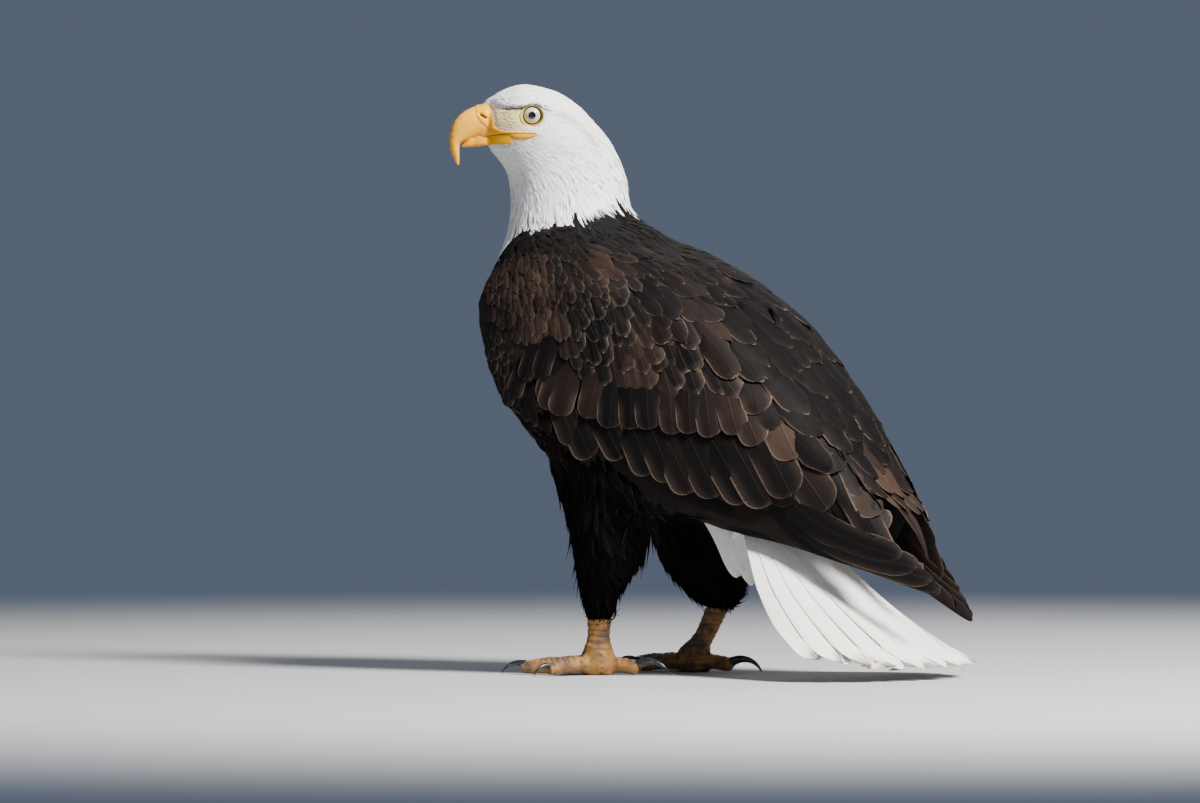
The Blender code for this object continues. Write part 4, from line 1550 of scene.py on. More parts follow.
@dataclass
class Roof:
    """The even surface over the back, on which the large feathers bridge the grooves beside the wings."""

    # how far it lies inside the solids, by the reach down the back
    depths: tuple = ((-0.30, 0.0045), (-0.12, 0.0010))
    step: float = 0.006
    most: float = 0.060  # how deep a groove may be to be bridged
    rooted: float = 0.026  # how deep a groove may be for feathers to grow over it
    ends: float = 0.004  # how far down the back the shoulder feathers' tips reach
    widest: float = 1.9  # how far round from the top it is used, in radians
    turns: Array = field(default_factory=lambda: np.radians(np.linspace(-120, 120, 61)))
    stations: Array = field(init=False)
    middles: Array = field(init=False)
    radii: Array = field(init=False)

    def build(self) -> None:
        """Wraps the trunk and the wings in tight rings, one at each station down the back."""
        body = remeshed(copy_of("roof", "trunk", "wing_left", "wing_right"), 0.005, 1)
        points, _ = arrays(body.data)
        bpy.data.objects.remove(body)
        reach, high = points @ REAR_AXIS, points @ REAR_UP
        self.stations = np.arange(reach.min() + 0.012, reach.max() - 0.006, self.step)
        middles, radii = [], []
        for station in self.stations:
            near = np.abs(reach - station) < self.step
            flat = np.stack([points[near, 1], high[near]], axis=-1)
            centre = np.array((0.0, (flat[:, 1].min() + flat[:, 1].max()) / 2))
            ring = flat[convex_hull_2d([Vector(place) for place in flat])] - centre
            edge = np.roll(ring, -1, axis=0) - ring
            out = unit(np.stack([edge[:, 1], -edge[:, 0]], axis=-1))
            level = (out * ring).sum(axis=1)
            out, level = out * np.sign(level)[:, None], np.abs(level)
            facing = np.stack([np.sin(self.turns), np.cos(self.turns)], axis=-1) @ out.T
            gaps = np.where(facing > 1e-4, level / np.maximum(facing, 1e-4), 9.0)
            middles.append(centre[1])
            radii.append(gaps.min(axis=1) - table(self.depths, station))
        self.middles, self.radii = np.array(middles), relaxed(np.array(radii))

    def read(self, reach: Array, turn: Array) -> Array:
        """The roof's distance from the middle line.

        Args:
            reach: how far down the back.
            turn: how far round from the top, in radians.

        Returns:
            One distance for each.
        """
        row = np.clip((reach - self.stations[0]) / self.step, 0, len(self.stations) - 1.001)
        column = np.clip((turn - self.turns[0]) / (self.turns[1] - self.turns[0]), 0, len(self.turns) - 1.001)
        r, c = row.astype(int), column.astype(int)
        u, v = row - r, column - c
        near = self.radii[r, c] * (1 - v) + self.radii[r, c + 1] * v
        return near * (1 - u) + (self.radii[r + 1, c] * (1 - v) + self.radii[r + 1, c + 1] * v) * u

    def raised(self, points: Array, normals: Array) -> tuple[Array, Array, Array]:
        """Lifts what lies under the roof onto it.

        Args:
            points: places on the skin.
            normals: its outward directions there.

        Returns:
            The places and directions on the roof or, where the skin lies over it, as they were, and how far
            under the roof each place was.
        """
        reach = points @ REAR_AXIS
        high = points @ REAR_UP - np.interp(reach, self.stations, self.middles)
        turn = np.arctan2(points[:, 1], high)
        roof = self.read(reach, turn)
        gap = roof - np.hypot(points[:, 1], high)
        outward, beside = spoke(turn), spoke(turn + math.pi / 2)
        slope = self.read(reach, turn + 0.04) - self.read(reach, turn - 0.04)
        slope = slope / 0.08 / np.maximum(roof, 0.01)
        fall = (self.read(reach + 0.006, turn) - self.read(reach - 0.006, turn)) / 0.012
        station = np.clip(((reach - self.stations[0]) / self.step).astype(int), 0, len(self.stations) - 1)
        fall = fall + np.gradient(self.middles, self.step)[station] * np.cos(turn)
        facing = unit(outward - slope[:, None] * beside - fall[:, None] * REAR_AXIS)
        under = (np.abs(turn) < self.widest) & (reach < self.stations[-1])
        move = (under & (gap > 0) & (gap < self.most) & (reach > self.stations[0]))[:, None]
        moved = points + gap[:, None] * move * outward
        return moved, np.where(move, facing, normals), np.where(under, gap, 0)

    def over_skin(self, skin: Skin) -> Thing:
        """A copy of the skin that follows the roof wherever the roof lies outside it.

        Args:
            skin: the skin.

        Returns:
            The copy.
        """
        roof = skin.body.copy()
        roof.data = skin.body.data.copy()
        roof.name = "roof"
        bpy.context.scene.collection.objects.link(roof)
        points, facing, _ = self.raised(skin.points, skin.normals)
        put(roof, points)
        roof.data.attributes["outward"].data.foreach_set("vector", facing.astype(np.float32).ravel())
        return roof


def spoke(turn: Array) -> Array:
    """Directions straight out from the middle line of the back, at turns from the top to the right."""
    return np.stack([0 * turn, np.sin(turn), 0 * turn], axis=-1) + np.cos(turn)[:, None] * REAR_UP


@dataclass
class Coat:
    """All the small feathers of the body, one piece for each region."""

    skin: Skin
    tree: CoatTree
    cover: BVHTree  # the long feathers, which nothing grows under
    mouth: "Mouth"
    bare_eye: float = 0.0148  # nothing grows nearer than this to an eye
    base: float = 0.0002  # the height of the roots over the skin
    calm: tuple = (Tract.WING, Tract.MANTLE)  # where the feathers lie in rows
    roof: Roof = field(default_factory=Roof)

    def build(self) -> None:
        """Scatters the roots and grows every region."""
        self.roof.build()
        over = self.roof.over_skin(self.skin)
        rng = np.random.default_rng(SEED)
        roots = self.skin.scatter(rng)
        roots = picked(roots, self.bare(roots))
        for style in DRESSES:
            self.grow(picked(roots, roots["tract"] == style.tract.value), style, over, rng)
        bpy.data.objects.remove(over)

    def bare(self, roots: dict[str, Array]) -> Array:
        """Sorts out the roots. Tail feathers that would stand on a wing join the mantle.

        Args:
            roots: the arrays of the roots.

        Returns:
            Which are kept: none at the eyes, the bill and the mouth, nor under the long feathers.
        """
        point = roots["point"]
        keep = ~self.mouth.covers(point)
        for eye in ("eye_left", "eye_right"):
            keep &= np.linalg.norm(point - middle_of(eye) - 0.0026 * HEAD.forward, axis=1) > self.bare_eye
        for index in np.nonzero(point[:, 2] < 0.43)[0]:
            place = Vector(point[index])
            side = Vector((0, math.copysign(1.0, place.y), 0))
            keep[index] &= self.cover.ray_cast(place, side, 0.014)[0] is None
        roots["tract"][(roots["tract"] == Tract.TAIL.value) & ~on_trunk(point)] = Tract.MANTLE.value
        return keep

    def bridged(self, roots: dict[str, Array]) -> dict[str, Array]:
        """Lifts roots onto the roof, and keeps those whose feathers end above its lower edge.

        Args:
            roots: the arrays of the roots.

        Returns:
            The arrays of those that are kept, evenly spaced again.
        """
        roots["point"], roots["normal"], gap = self.roof.raised(roots["point"], roots["normal"])
        ends = roots["point"] @ REAR_AXIS + 0.8 * roots["length"]
        roots = picked(roots, (gap < self.roof.rooted) & (ends < self.roof.ends))
        roots = picked(roots, thinned(roots["point"], roots["spacing"] * 0.8))
        roots["lie"] = flattened(roots["lie"], roots["normal"])
        return roots

    def grow(self, roots: dict[str, Array], style: TractDress, over: Thing, rng: Draw) -> None:
        """Grows one region.

        Args:
            roots: the arrays of its roots.
            style: how its feathers look.
            over: the skin with the roof, on which the mantle lies.
            rng: the draw of the differences between feathers.
        """
        roofed, region = style.tract is Tract.MANTLE, style.tract.value
        if roofed:
            roots = self.bridged(roots)
        count = len(roots["point"])
        sway = rng.normal(size=(count, 1)) * (0.10 if style.tract in self.calm else 0.16)
        across = np.cross(roots["lie"], roots["normal"])
        along = unit(roots["lie"] * np.cos(sway) + across * np.sin(sway))
        roots["turn"] = quaternions(unit(np.cross(along, roots["normal"])), along, roots["normal"])
        vary = 1 + 0.12 * rng.normal(size=(count, 2)).clip(-2, 2)
        width = roots["width"] * style.broad
        roots["size"] = np.stack([width * vary[:, 0], roots["length"] * vary[:, 1], width], axis=-1)
        roots["lift"] = roots["lift"] * (1 + 0.25 * rng.normal(size=count).clip(-2, 2))
        roots["stand"] = style.stand * roots["length"] * rng.random(count) ** 6
        rear = style.tract is Tract.TAIL
        roots["coat"] = coat_colour(roots["point"], roots["brown"], rng, rear)
        roots["pale"] = roots["pale"] * (1 - is_white(roots["point"], rear)) * (0.6 + 0.8 * rng.random(count))
        roots["pattern"] = rng.integers(0, len(style.patterns), count)
        roots["root_up"], roots["root_map"] = roots["normal"], np.pad(roots["map"], ((0, 0), (0, 1)))
        home = bpy.data.collections.new(f"patterns_{region}")
        bpy.context.scene.collection.children.link(home)
        made = [pattern.build(f"pattern_{region}_{i}", home) for i, pattern in enumerate(style.patterns)]
        finish = style.finish.make()
        piece = self.tree.grow(f"coat_{region}", roots, {
            "Skin": over if roofed else self.skin.body, "Patterns": home, "Base": self.base,
            "Follow": style.follow, "Material": finish,
        })
        for old in made:
            bpy.data.objects.remove(old)
        bpy.data.collections.remove(home)
        dress(piece, finish, style.slot)


# ---------------------------------------------------------------- long feathers
def closed_sheet(upper: Array, lower: Array) -> tuple[Array, list[tuple]]:
    """Joins two grids of the same shape at their rims into a closed body.

    Args:
        upper: the grid of its upper side.
        lower: the grid of its lower side.

    Returns:
        Its vertices, first the upper and then the lower, and its faces.
    """
    rows, columns, _ = upper.shape
    number = np.arange(2 * rows * columns).reshape(2, rows, columns)
    faces = []
    for r in range(rows - 1):
        for c in range(columns - 1):
            top, below = number[0, r : r + 2, c : c + 2], number[1, r : r + 2, c : c + 2]
            faces.append((top[0, 0], top[0, 1], top[1, 1], top[1, 0]))
            faces.append((below[0, 0], below[1, 0], below[1, 1], below[0, 1]))
    rim = [(0, c) for c in range(columns)] + [(r, columns - 1) for r in range(1, rows)]
    rim += [(rows - 1, c) for c in range(columns - 2, -1, -1)] + [(r, 0) for r in range(rows - 2, 0, -1)]
    for here, there in zip(rim, rim[1:] + rim[:1]):
        faces.append((number[0][there], number[0][here], number[1][here], number[1][there]))
    return np.concatenate([upper.reshape(-1, 3), lower.reshape(-1, 3)]), faces


class Sheet:
    """Builds long feathers as closed thin vanes and joins them into one piece with a map of large cells."""

    MARGIN = 0.06  # round each feather in its cell of the map
    HALF = 0.47  # where the lower side starts in the cell

    def __init__(self, cells: int) -> None:
        """Starts an empty piece whose map is a square of cells by cells."""
        self.cells = cells
        self.bodies, self.own, self.maps, self.colours, self.pales = [], [], [], [], []

    def add(self, grid: Array, normals: Array, thickness: float, colour: Array, pale: float) -> None:
        """Adds one vane.

        Args:
            grid: its upper surface, rows from root to tip by columns from side to side.
            normals: the outward direction at each point of the grid.
            thickness: how thick it is at its shaft.
            colour: its colour.
            pale: how strong its pale margin is.
        """
        rows, columns, _ = grid.shape
        u, v = np.meshgrid(np.linspace(0, 1, columns), np.linspace(0, 1, rows))
        own = np.stack([u, v], axis=-1).reshape(-1, 2)
        cell = np.array((len(self.bodies) % self.cells, len(self.bodies) // self.cells % self.cells))
        for layer in range(2):
            inset = self.MARGIN + own * (0.5 - self.MARGIN, 1 - 2 * self.MARGIN) + (self.HALF * layer, 0)
            self.own.append(own)
            self.maps.append((cell + inset) / self.cells)
            self.colours.append(np.tile(np.append(colour, 1.0), (len(own), 1)))
            self.pales.append(np.full(len(own), pale))
        depth = thickness * (1 - 0.75 * np.linspace(-1, 1, columns) ** 2)
        self.bodies.append(closed_sheet(grid, grid - normals * depth[None, :, None]))

    def finish(self, name: str) -> Thing:
        """Joins the vanes.

        Args:
            name: the piece's name.

        Returns:
            The piece.
        """
        piece = new_object(name, *joined(self.bodies))
        mesh = piece.data
        add_values(mesh, "coat", np.concatenate(self.colours), "FLOAT_COLOR")
        add_values(mesh, "pale", np.concatenate(self.pales))
        corners = corners_of(mesh)
        add_map(mesh, VANE_MAP, np.concatenate(self.own)[corners])
        add_map(mesh, MAP, np.concatenate(self.maps)[corners])
        face_outwards(piece, 0)
        mesh.set_sharp_from_angle(angle=1.0)
        return piece


def blade(centre: Array, half: Array, aside: Array, side: Array) -> Array:
    """A flat grid: points along a middle line, spread to both sides by half widths."""
    return centre[:, None] + np.outer(half, side)[..., None] * aside


@dataclass(frozen=True)
class Row:
    """A row of like feathers on the folded wing, laid out in the side view as x and z.

    Each feather lies on top of the one before. The leans are the turns of the first and last feather from
    straight down towards the tail, in degrees.
    """

    tips: tuple
    leans: tuple
    lengths: tuple
    count: int
    widths: tuple
    heights: tuple  # over the solid's surface at the root and at the tip, in millimetres
    stack: float  # what each feather adds to the height of the one before, in millimetres
    brown: float
    pale: float
    bow: float = 0.0
    pointed: float = 0.0
    tilt: float = 0.5


WING_ROWS = {
    "primaries": Row(
        tips=((0.13, 0.132), (0.172, 0.112), (0.212, 0.092), (0.246, 0.08), (0.26, 0.0815), (0.252, 0.092),
              (0.236, 0.104), (0.218, 0.114)),
        leans=(66, 58), lengths=(0.245, 0.17), count=9, widths=(0.02, 0.03), heights=(-2.6, -1.8), stack=0.55,
        brown=0.18, pale=0.45, bow=0.017, pointed=0.6,
    ),
    "secondaries": Row(
        tips=((-0.1, 0.222), (-0.079, 0.21), (-0.05, 0.209), (-0.0215, 0.195), (0, 0.188), (0.021, 0.18),
              (0.047, 0.173), (0.072, 0.167), (0.096, 0.166), (0.12, 0.174)),
        leans=(28, 30), lengths=(0.07, 0.12), count=10, widths=(0.028, 0.042), heights=(-3, 1.2), stack=0.22,
        brown=0.12, pale=0.75, bow=-0.003, tilt=1.1,
    ),
    "tertials": Row(
        tips=((0.15, 0.16), (0.204, 0.106), (0.2, 0.134), (0.198, 0.156), (0.19, 0.176)),
        leans=(36, 36), lengths=(0.11, 0.08), count=5, widths=(0.034, 0.034), heights=(-2.6, 1.1), stack=0.28,
        brown=0.2, pale=0.6, bow=-0.004, tilt=1,
    ),
    "primary_coverts": Row(
        tips=((-0.172, 0.26), (-0.159, 0.268), (-0.142, 0.288), (-0.13, 0.262)),
        leans=(-24, -20), lengths=(0.06, 0.055), count=5, widths=(0.014, 0.024), heights=(-3.4, 0.6),
        stack=0.12, brown=0.15, pale=0.6, bow=0.002, tilt=0.6,
    ),
    "greater_coverts": Row(
        tips=((-0.1304, 0.2529), (-0.113, 0.248), (-0.0759, 0.2442), (-0.0542, 0.2385), (-0.0302, 0.2365),
              (-0.0084, 0.2337), (0.0177, 0.2317), (0.04, 0.2308), (0.066, 0.232), (0.092, 0.226)),
        leans=(-15, 26), lengths=(0.06, 0.062), count=11, widths=(0.024, 0.028), heights=(-3.8, 1.9),
        stack=0.1, brown=0.38, pale=1, bow=-0.001, tilt=0.9,
    ),
    "rear_coverts": Row(
        tips=((0.088, 0.254), (0.104, 0.24), (0.127, 0.212), (0.146, 0.208), (0.162, 0.2)),
        leans=(28, 38), lengths=(0.05, 0.056), count=5, widths=(0.026, 0.03), heights=(-3.6, 2.2), stack=0.15,
        brown=0.35, pale=0.9, bow=-0.001, tilt=0.7,
    ),
}
# the one large brown feather near the end of the wing: its row and place, how brown, height, length and width
RUSTY_ROW, RUSTY_PLACE, RUSTY_BROWN = "rear_coverts", 2, 1.6
RUSTY_HEIGHT, RUSTY_LENGTH, RUSTY_WIDTH = 0.0012, 0.074, 0.037


@dataclass
class Wing:
    """The long feathers of one folded wing."""

    name: str
    side: int
    rows: int = 15
    columns: int = 7
    slim_root: float = 0.6
    overhang: float = 0.005  # how far a feather's edge may stand past the wing's own outline
    tree: BVHTree = field(init=False)

    def __post_init__(self) -> None:
        """Prepares the search over the wing's solids."""
        self.tree = tree_of_nodes(f"wing_{self.name}", f"primaries_{self.name}")
        self.aside = np.array((0.0, self.side, 0.0))

    def shift(self, plane: Array) -> Array:
        """Follows the right wing where it hangs differently from the left.

        Args:
            plane: x and z.

        Returns:
            The new places.
        """
        if self.side < 0:
            return plane
        along = np.clip((plane[:, 0] + 0.206) / 0.467, 0, 1)
        loose = np.sin(math.pi * along**1.3) ** 2
        return plane + np.stack([0.015 * loose, 0.014 * loose - 0.028 * along**3], axis=-1)

    def surface(self, plane: Array) -> tuple[Array, Array]:
        """The wing's outer surface at places in the side view.

        Args:
            plane: x and z.

        Returns:
            Points and outward directions. Past the wing's edge the surface runs on level.
        """
        points, normals = [], []
        for x, z in plane:
            hit, normal, *_ = self.tree.ray_cast(Vector((x, 0.3 * self.side, z)), Vector(-self.aside), 0.6)
            if hit is None:
                near, normal, *_ = self.tree.find_nearest(Vector((x, 0.06 * self.side, z)))
                past = Vector((x - near.x, 0, z - near.z))
                hit = near + past * min(1.0, self.overhang / max(past.length, 1e-6))
            points.append(hit)
            normals.append(normal)
        return np.array(points), unit(0.35 * np.array(normals) + 0.65 * self.aside)

    def vane(self, tip: Array, lean: float, length: float, row: Row, width: float, layer: float,
             rng: Draw) -> tuple[Array, Array]:
        """One feather.

        Args:
            tip: its tip in the side view.
            lean: its turn from straight down towards the tail, in radians.
            length: its length.
            row: the row that it is in.
            width: its width.
            layer: what is added to its height, in metres.
            rng: the draw of its small differences.

        Returns:
            The grid of its upper surface and the outward directions.
        """
        along, side = lengthwise(self.rows, 0.85), np.linspace(-1, 1, self.columns)
        way = np.array((math.sin(lean), -math.cos(lean)))
        aside = np.array((way[1], -way[0]))
        bow = row.bow * np.sin(math.pi * along) + 0.0012 * rng.normal() * along
        centre = tip - way * length + way * length * along[:, None] + aside * bow[:, None]
        turn = 1 - np.clip(0.42 * width / length, 0.06, 0.3) * (1 + 1.2 * row.pointed)
        end = np.clip(along - turn, 0, 1) / (1.0005 - turn)
        taper = np.sqrt(np.clip(1 - end ** (2.0 - 0.5 * row.pointed), 0, 1))
        half = 0.5 * width * (self.slim_root + (1 - self.slim_root) * np.clip(along / 0.3, 0, 1))
        plane = blade(centre, half * np.maximum(taper, 0.05), aside, side)
        shape = (self.rows, self.columns, 3)
        points, normals = (found.reshape(shape) for found in self.surface(self.shift(plane.reshape(-1, 2))))
        points[..., 1] = relaxed(points[..., 1])
        low, high = row.heights
        height = (low + (high - low) * ramp(0.10, 0.80, along)) / 1000 + layer * ramp(0, 0.5, along)
        dome = 0.0009 * (1 - side**2) + 0.001 * row.tilt * side
        lift = height[:, None] + np.outer(ramp(0, 0.3, along), dome)
        lift = lift + np.outer(along, 0.00020 * rng.normal(size=self.columns))
        return points + lift[..., None] * self.aside, normals

    def build(self) -> Thing:
        """Builds every row and dresses the piece.

        Returns:
            The piece.
        """
        rng = np.random.default_rng(SEED + 11)
        sheet = Sheet(8)
        for name, row in WING_ROWS.items():
            places = np.linspace(0, 1, row.count)
            tips = spline(row.tips, places)
            for index, place in enumerate(places):
                lean = math.radians(np.interp(place, (0, 1), row.leans) + 2.0 * rng.normal())
                length = np.interp(place, (0, 1), row.lengths)
                width = np.interp(place, (0, 1), row.widths) * (1 + 0.06 * rng.normal())
                tip = tips[index] + 0.0015 * rng.normal(size=2)
                brown, layer = row.brown + 0.15 * rng.normal(), index * row.stack / 1000
                if (name, index) == (RUSTY_ROW, RUSTY_PLACE):
                    brown, layer, length, width = RUSTY_BROWN, layer + RUSTY_HEIGHT, RUSTY_LENGTH, RUSTY_WIDTH
                grid, normals = self.vane(tip, lean, length, row, width, layer, rng)
                middle = grid.mean(axis=(0, 1))[None]
                colour = coat_colour(middle, np.array([max(brown, 0.05)]), rng)[0, :3]
                sheet.add(grid, normals, 0.0006, colour, row.pale * (0.7 + 0.5 * rng.random()))
        piece = sheet.finish(f"long_feathers_{self.name}")
        finish = FeatherFinish(f"feathers_long_{self.name}", relief=0.00016, roughness=0.56, gloss=0.08)
        dress(piece, finish.make(), "plumage_dark", f"primaries_{self.name}")
        return piece


@dataclass
class Tail:
    """The fanned white tail: stiff feathers that reach the floor, and long coverts beside its root."""

    feathers: int = 12
    rows: int = 20
    columns: int = 13
    width: float = 0.042
    root: tuple = (0.030, 0.020)  # x of the roots and how far the outermost stands aside
    coverts: int = 3  # on each side below the root
    thickness: float = 0.0008
    clearance: float = 0.0012  # over the floor

    def __post_init__(self) -> None:
        """Prepares the search over the tail's solid and the steps of the grids."""
        self.tree = tree_of_nodes("tail")
        self.along, self.side = lengthwise(self.rows), np.linspace(-1, 1, self.columns)

    def height(self, plane: Array) -> tuple[Array, Array]:
        """The top of the tail's solid.

        Args:
            plane: x and y, seen from above.

        Returns:
            Heights and outward directions.
        """
        tops, normals = [], []
        for x, y in plane:
            hit, normal, *_ = self.tree.ray_cast(Vector((x, y, 0.5)), Vector((0, 0, -1)), 1.0)
            if hit is None:
                hit, normal = self.tree.find_nearest(Vector((x, y, 0.05)))[0], Vector((0.5, 0, 0.85))
            tops.append(hit.z)
            normals.append(normal)
        return np.array(tops), np.array(normals)

    def covert(self, sheet: Sheet, side: int, place: float, rng: Draw) -> None:
        """Adds one long covert that hangs beside the tail's root.

        Args:
            sheet: the piece that it joins.
            side: 1 for the right and -1 for the left.
            place: 0 for the foremost and 1 for the rearmost.
            rng: the draw of its small differences.
        """
        along = self.along
        root = np.array((0.012 * place, side * 0.026, 0.165))
        tip = np.array((
            0.042 + 0.020 * place, side * (0.034 + 0.012 * place), 0.0965 + 0.006 * math.sin(4 * place),
        ))
        tip += 0.0015 * rng.normal(size=3)
        way = unit(tip - root)
        aside = unit(np.cross((0.15, side, 0.10), way))
        out = np.cross(way, aside)
        centre = root + (tip - root) * along[:, None] + 0.004 * np.sin(math.pi * along)[:, None] * aside
        grid = blade(centre, 0.011 * rounded(along, 0.62, 0.385, 2.2), aside, self.side)
        grid = grid + (0.0022 * (1 - self.side**2) - 0.0016 * place)[None, :, None] * out
        sheet.add(grid, np.broadcast_to(out, grid.shape), self.thickness, WHITE * 0.97, 0.2)

    def feather(self, sheet: Sheet, share: float, layer: int, rng: Draw) -> None:
        """Adds one of the stiff feathers.

        Args:
            sheet: the piece that it joins.
            share: its place from -1 on the left to 1 on the right.
            layer: how many feathers lie under it.
            rng: the draw of its small differences.
        """
        along, side = self.along, self.side
        low, high = (np.array(corner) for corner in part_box("tail"))
        reach, turn = high[0], share * math.pi / 2
        root = np.array((self.root[0], share * self.root[1]))
        tip = np.array((
            reach - 0.004 - (reach - low[0]) * 0.36 * (1 - math.cos(turn)),
            (high[1] - 0.012) * math.sin(turn),
        ))
        way = unit(tip - root)
        broad = 0.45 + 0.55 * np.clip(along / 0.5, 0, 1)
        half = 0.5 * self.width * broad * rounded(along, 0.88, 0.1205, 2.2)
        plane = blade(root + (tip - root) * along[:, None], half, np.array((-way[1], way[0])), side)
        tops, normals = self.height(plane.reshape(-1, 2))
        tops = relaxed(tops.reshape(self.rows, self.columns))
        outwards = np.sign(share) * side if abs(share) > 0.1 else side * 0
        lift = 0.0002 - 0.008 * (1 - ramp(0, 0.22, along)) + 0.0012 * layer * along
        lift = lift[:, None] + np.outer(along, 0.0018 * (1 - side**2) + 0.0026 * outwards)
        grid = np.concatenate([plane, (tops + lift)[..., None]], axis=-1)
        fray = 0.0032 * rng.normal(size=self.columns) - 0.013 * (rng.random(self.columns) < 0.20)
        grid[..., :2] += np.outer(ramp(0.84, 1.0, along), fray)[..., None] * way
        grid[..., 2] = np.maximum(grid[..., 2], self.clearance)
        colour = WHITE * (1 - rng.random() * np.array((0.03, 0.06, 0.12)))
        sheet.add(grid, unit(normals).reshape(grid.shape), self.thickness, colour, 0.3 + 0.4 * rng.random())

    def build(self) -> None:
        """Builds the fan, from the outermost feathers to the middle pair on top, and the coverts."""
        rng = np.random.default_rng(SEED + 23)
        sheet = Sheet(5)
        order = sorted(range(self.feathers), key=lambda i: -abs(i - (self.feathers - 1) / 2))
        for rank, index in enumerate(order):
            self.feather(sheet, (index + 0.5) / self.feathers * 2 - 1, rank // 2, rng)
        for side in (-1, 1):
            for index in range(self.coverts):
                self.covert(sheet, side, index / (self.coverts - 1), rng)
        piece = sheet.finish("tail_feathers")
        put(piece, arrays(piece.data)[0])
        finish = FeatherFinish("feathers_tail", 60, 12, 0.00022, 0.6, 0.5, 0.10, edge=0.78,
                               margin=(0.60, 0.47, 0.33, 1.0))
        dress(piece, finish.make(), "plumage_white", "tail")


@dataclass
class Ridge:
    """The long feathers of the back that close the groove between the folded wings."""

    roof: Roof
    rows: int = 16
    columns: int = 9
    sunk: float = 0.0050  # how deep the roots lie
    # reach of the tips down the back, places aside, length, width, height, droop, how brown
    tiers: tuple = (
        (0.108, (-0.007, 0.006), 0.085, 0.014, -0.0030, 0.030, 0.8),
        (0.090, (-0.009, 0.004), 0.080, 0.016, -0.0020, 0.018, 0.6),
        (0.070, (-0.022, -0.006, 0.010, 0.024), 0.080, 0.018, -0.0005, 0.005, 0.8),
        (0.050, (-0.032, -0.016, 0.000, 0.016, 0.030), 0.080, 0.021, 0.0005, 0.0, 0.7),
        (0.026, (-0.042, -0.024, -0.006, 0.012, 0.028, 0.044), 0.080, 0.025, 0.0015, 0.0, 0.4),
        (-0.002, (-0.060, -0.036, -0.012, 0.012, 0.034, 0.056), 0.095, 0.033, 0.0036, 0.0, 0.05),
        (-0.030, (-0.052, -0.026, 0.000, 0.026, 0.050), 0.090, 0.034, 0.0040, 0.0, 0.10),
    )

    def lay(self, reach: Array, aside: Array) -> tuple[Array, Array]:
        """Places on the roof.

        Args:
            reach: how far down the back each place is.
            aside: how far to the right.

        Returns:
            The places and the outward directions there.
        """
        turns = np.linspace(-1.45, 1.45, 59)
        found = np.array([
            np.interp(y, self.roof.read(np.full(len(turns), r), turns) * np.sin(turns), turns)
            for r, y in zip(reach, aside)
        ])
        middle, out = np.interp(reach, self.roof.stations, self.roof.middles), spoke(found)
        radius = self.roof.read(reach, found)
        return middle[:, None] * REAR_UP + reach[:, None] * REAR_AXIS + radius[:, None] * out, out

    def build(self) -> None:
        """Builds the tiers from the lowest to the highest, each over the one before."""
        rng = np.random.default_rng(SEED + 31)
        sheet = Sheet(5)
        along, side = lengthwise(self.rows), np.linspace(-1, 1, self.columns)
        shape = (self.rows, self.columns, 3)
        for tip, places, length, width, height, droop, brown in self.tiers:
            for index, place in enumerate(places):
                reach = tip + 0.004 * rng.normal() - length * (1 - along)
                middle = place * (1.25 - 0.25 * along)
                facing = self.lay(reach, middle)[1] @ REAR_UP
                half = 0.5 * width * rounded(along, 0.72, 0.285, 2.0) * np.maximum(facing, 0.35)
                y = middle[:, None] + np.outer(half, side)
                points, out = (x.reshape(shape) for x in self.lay(np.repeat(reach, self.columns), y.ravel()))
                rise = (self.sunk + height + 0.0008 * (index % 2)) * ramp(0.0, 0.70, along)
                lift = (rise - self.sunk - droop * along**2)[:, None] + 0.0016 * (1 - side**2)
                points = points + lift[..., None] * out
                brown_here = np.array([brown * (0.4 + 1.2 * rng.random())])
                colour = coat_colour(points.mean(axis=(0, 1))[None], brown_here, rng)[0, :3]
                sheet.add(points, out, 0.0006, colour, 0.30 + 0.4 * rng.random())
        finish = FeatherFinish("feathers_ridge", relief=0.00016, roughness=0.58, glow=0.07, gloss=0.05)
        dress(sheet.finish("back_feathers"), finish.make(), "plumage_dark")


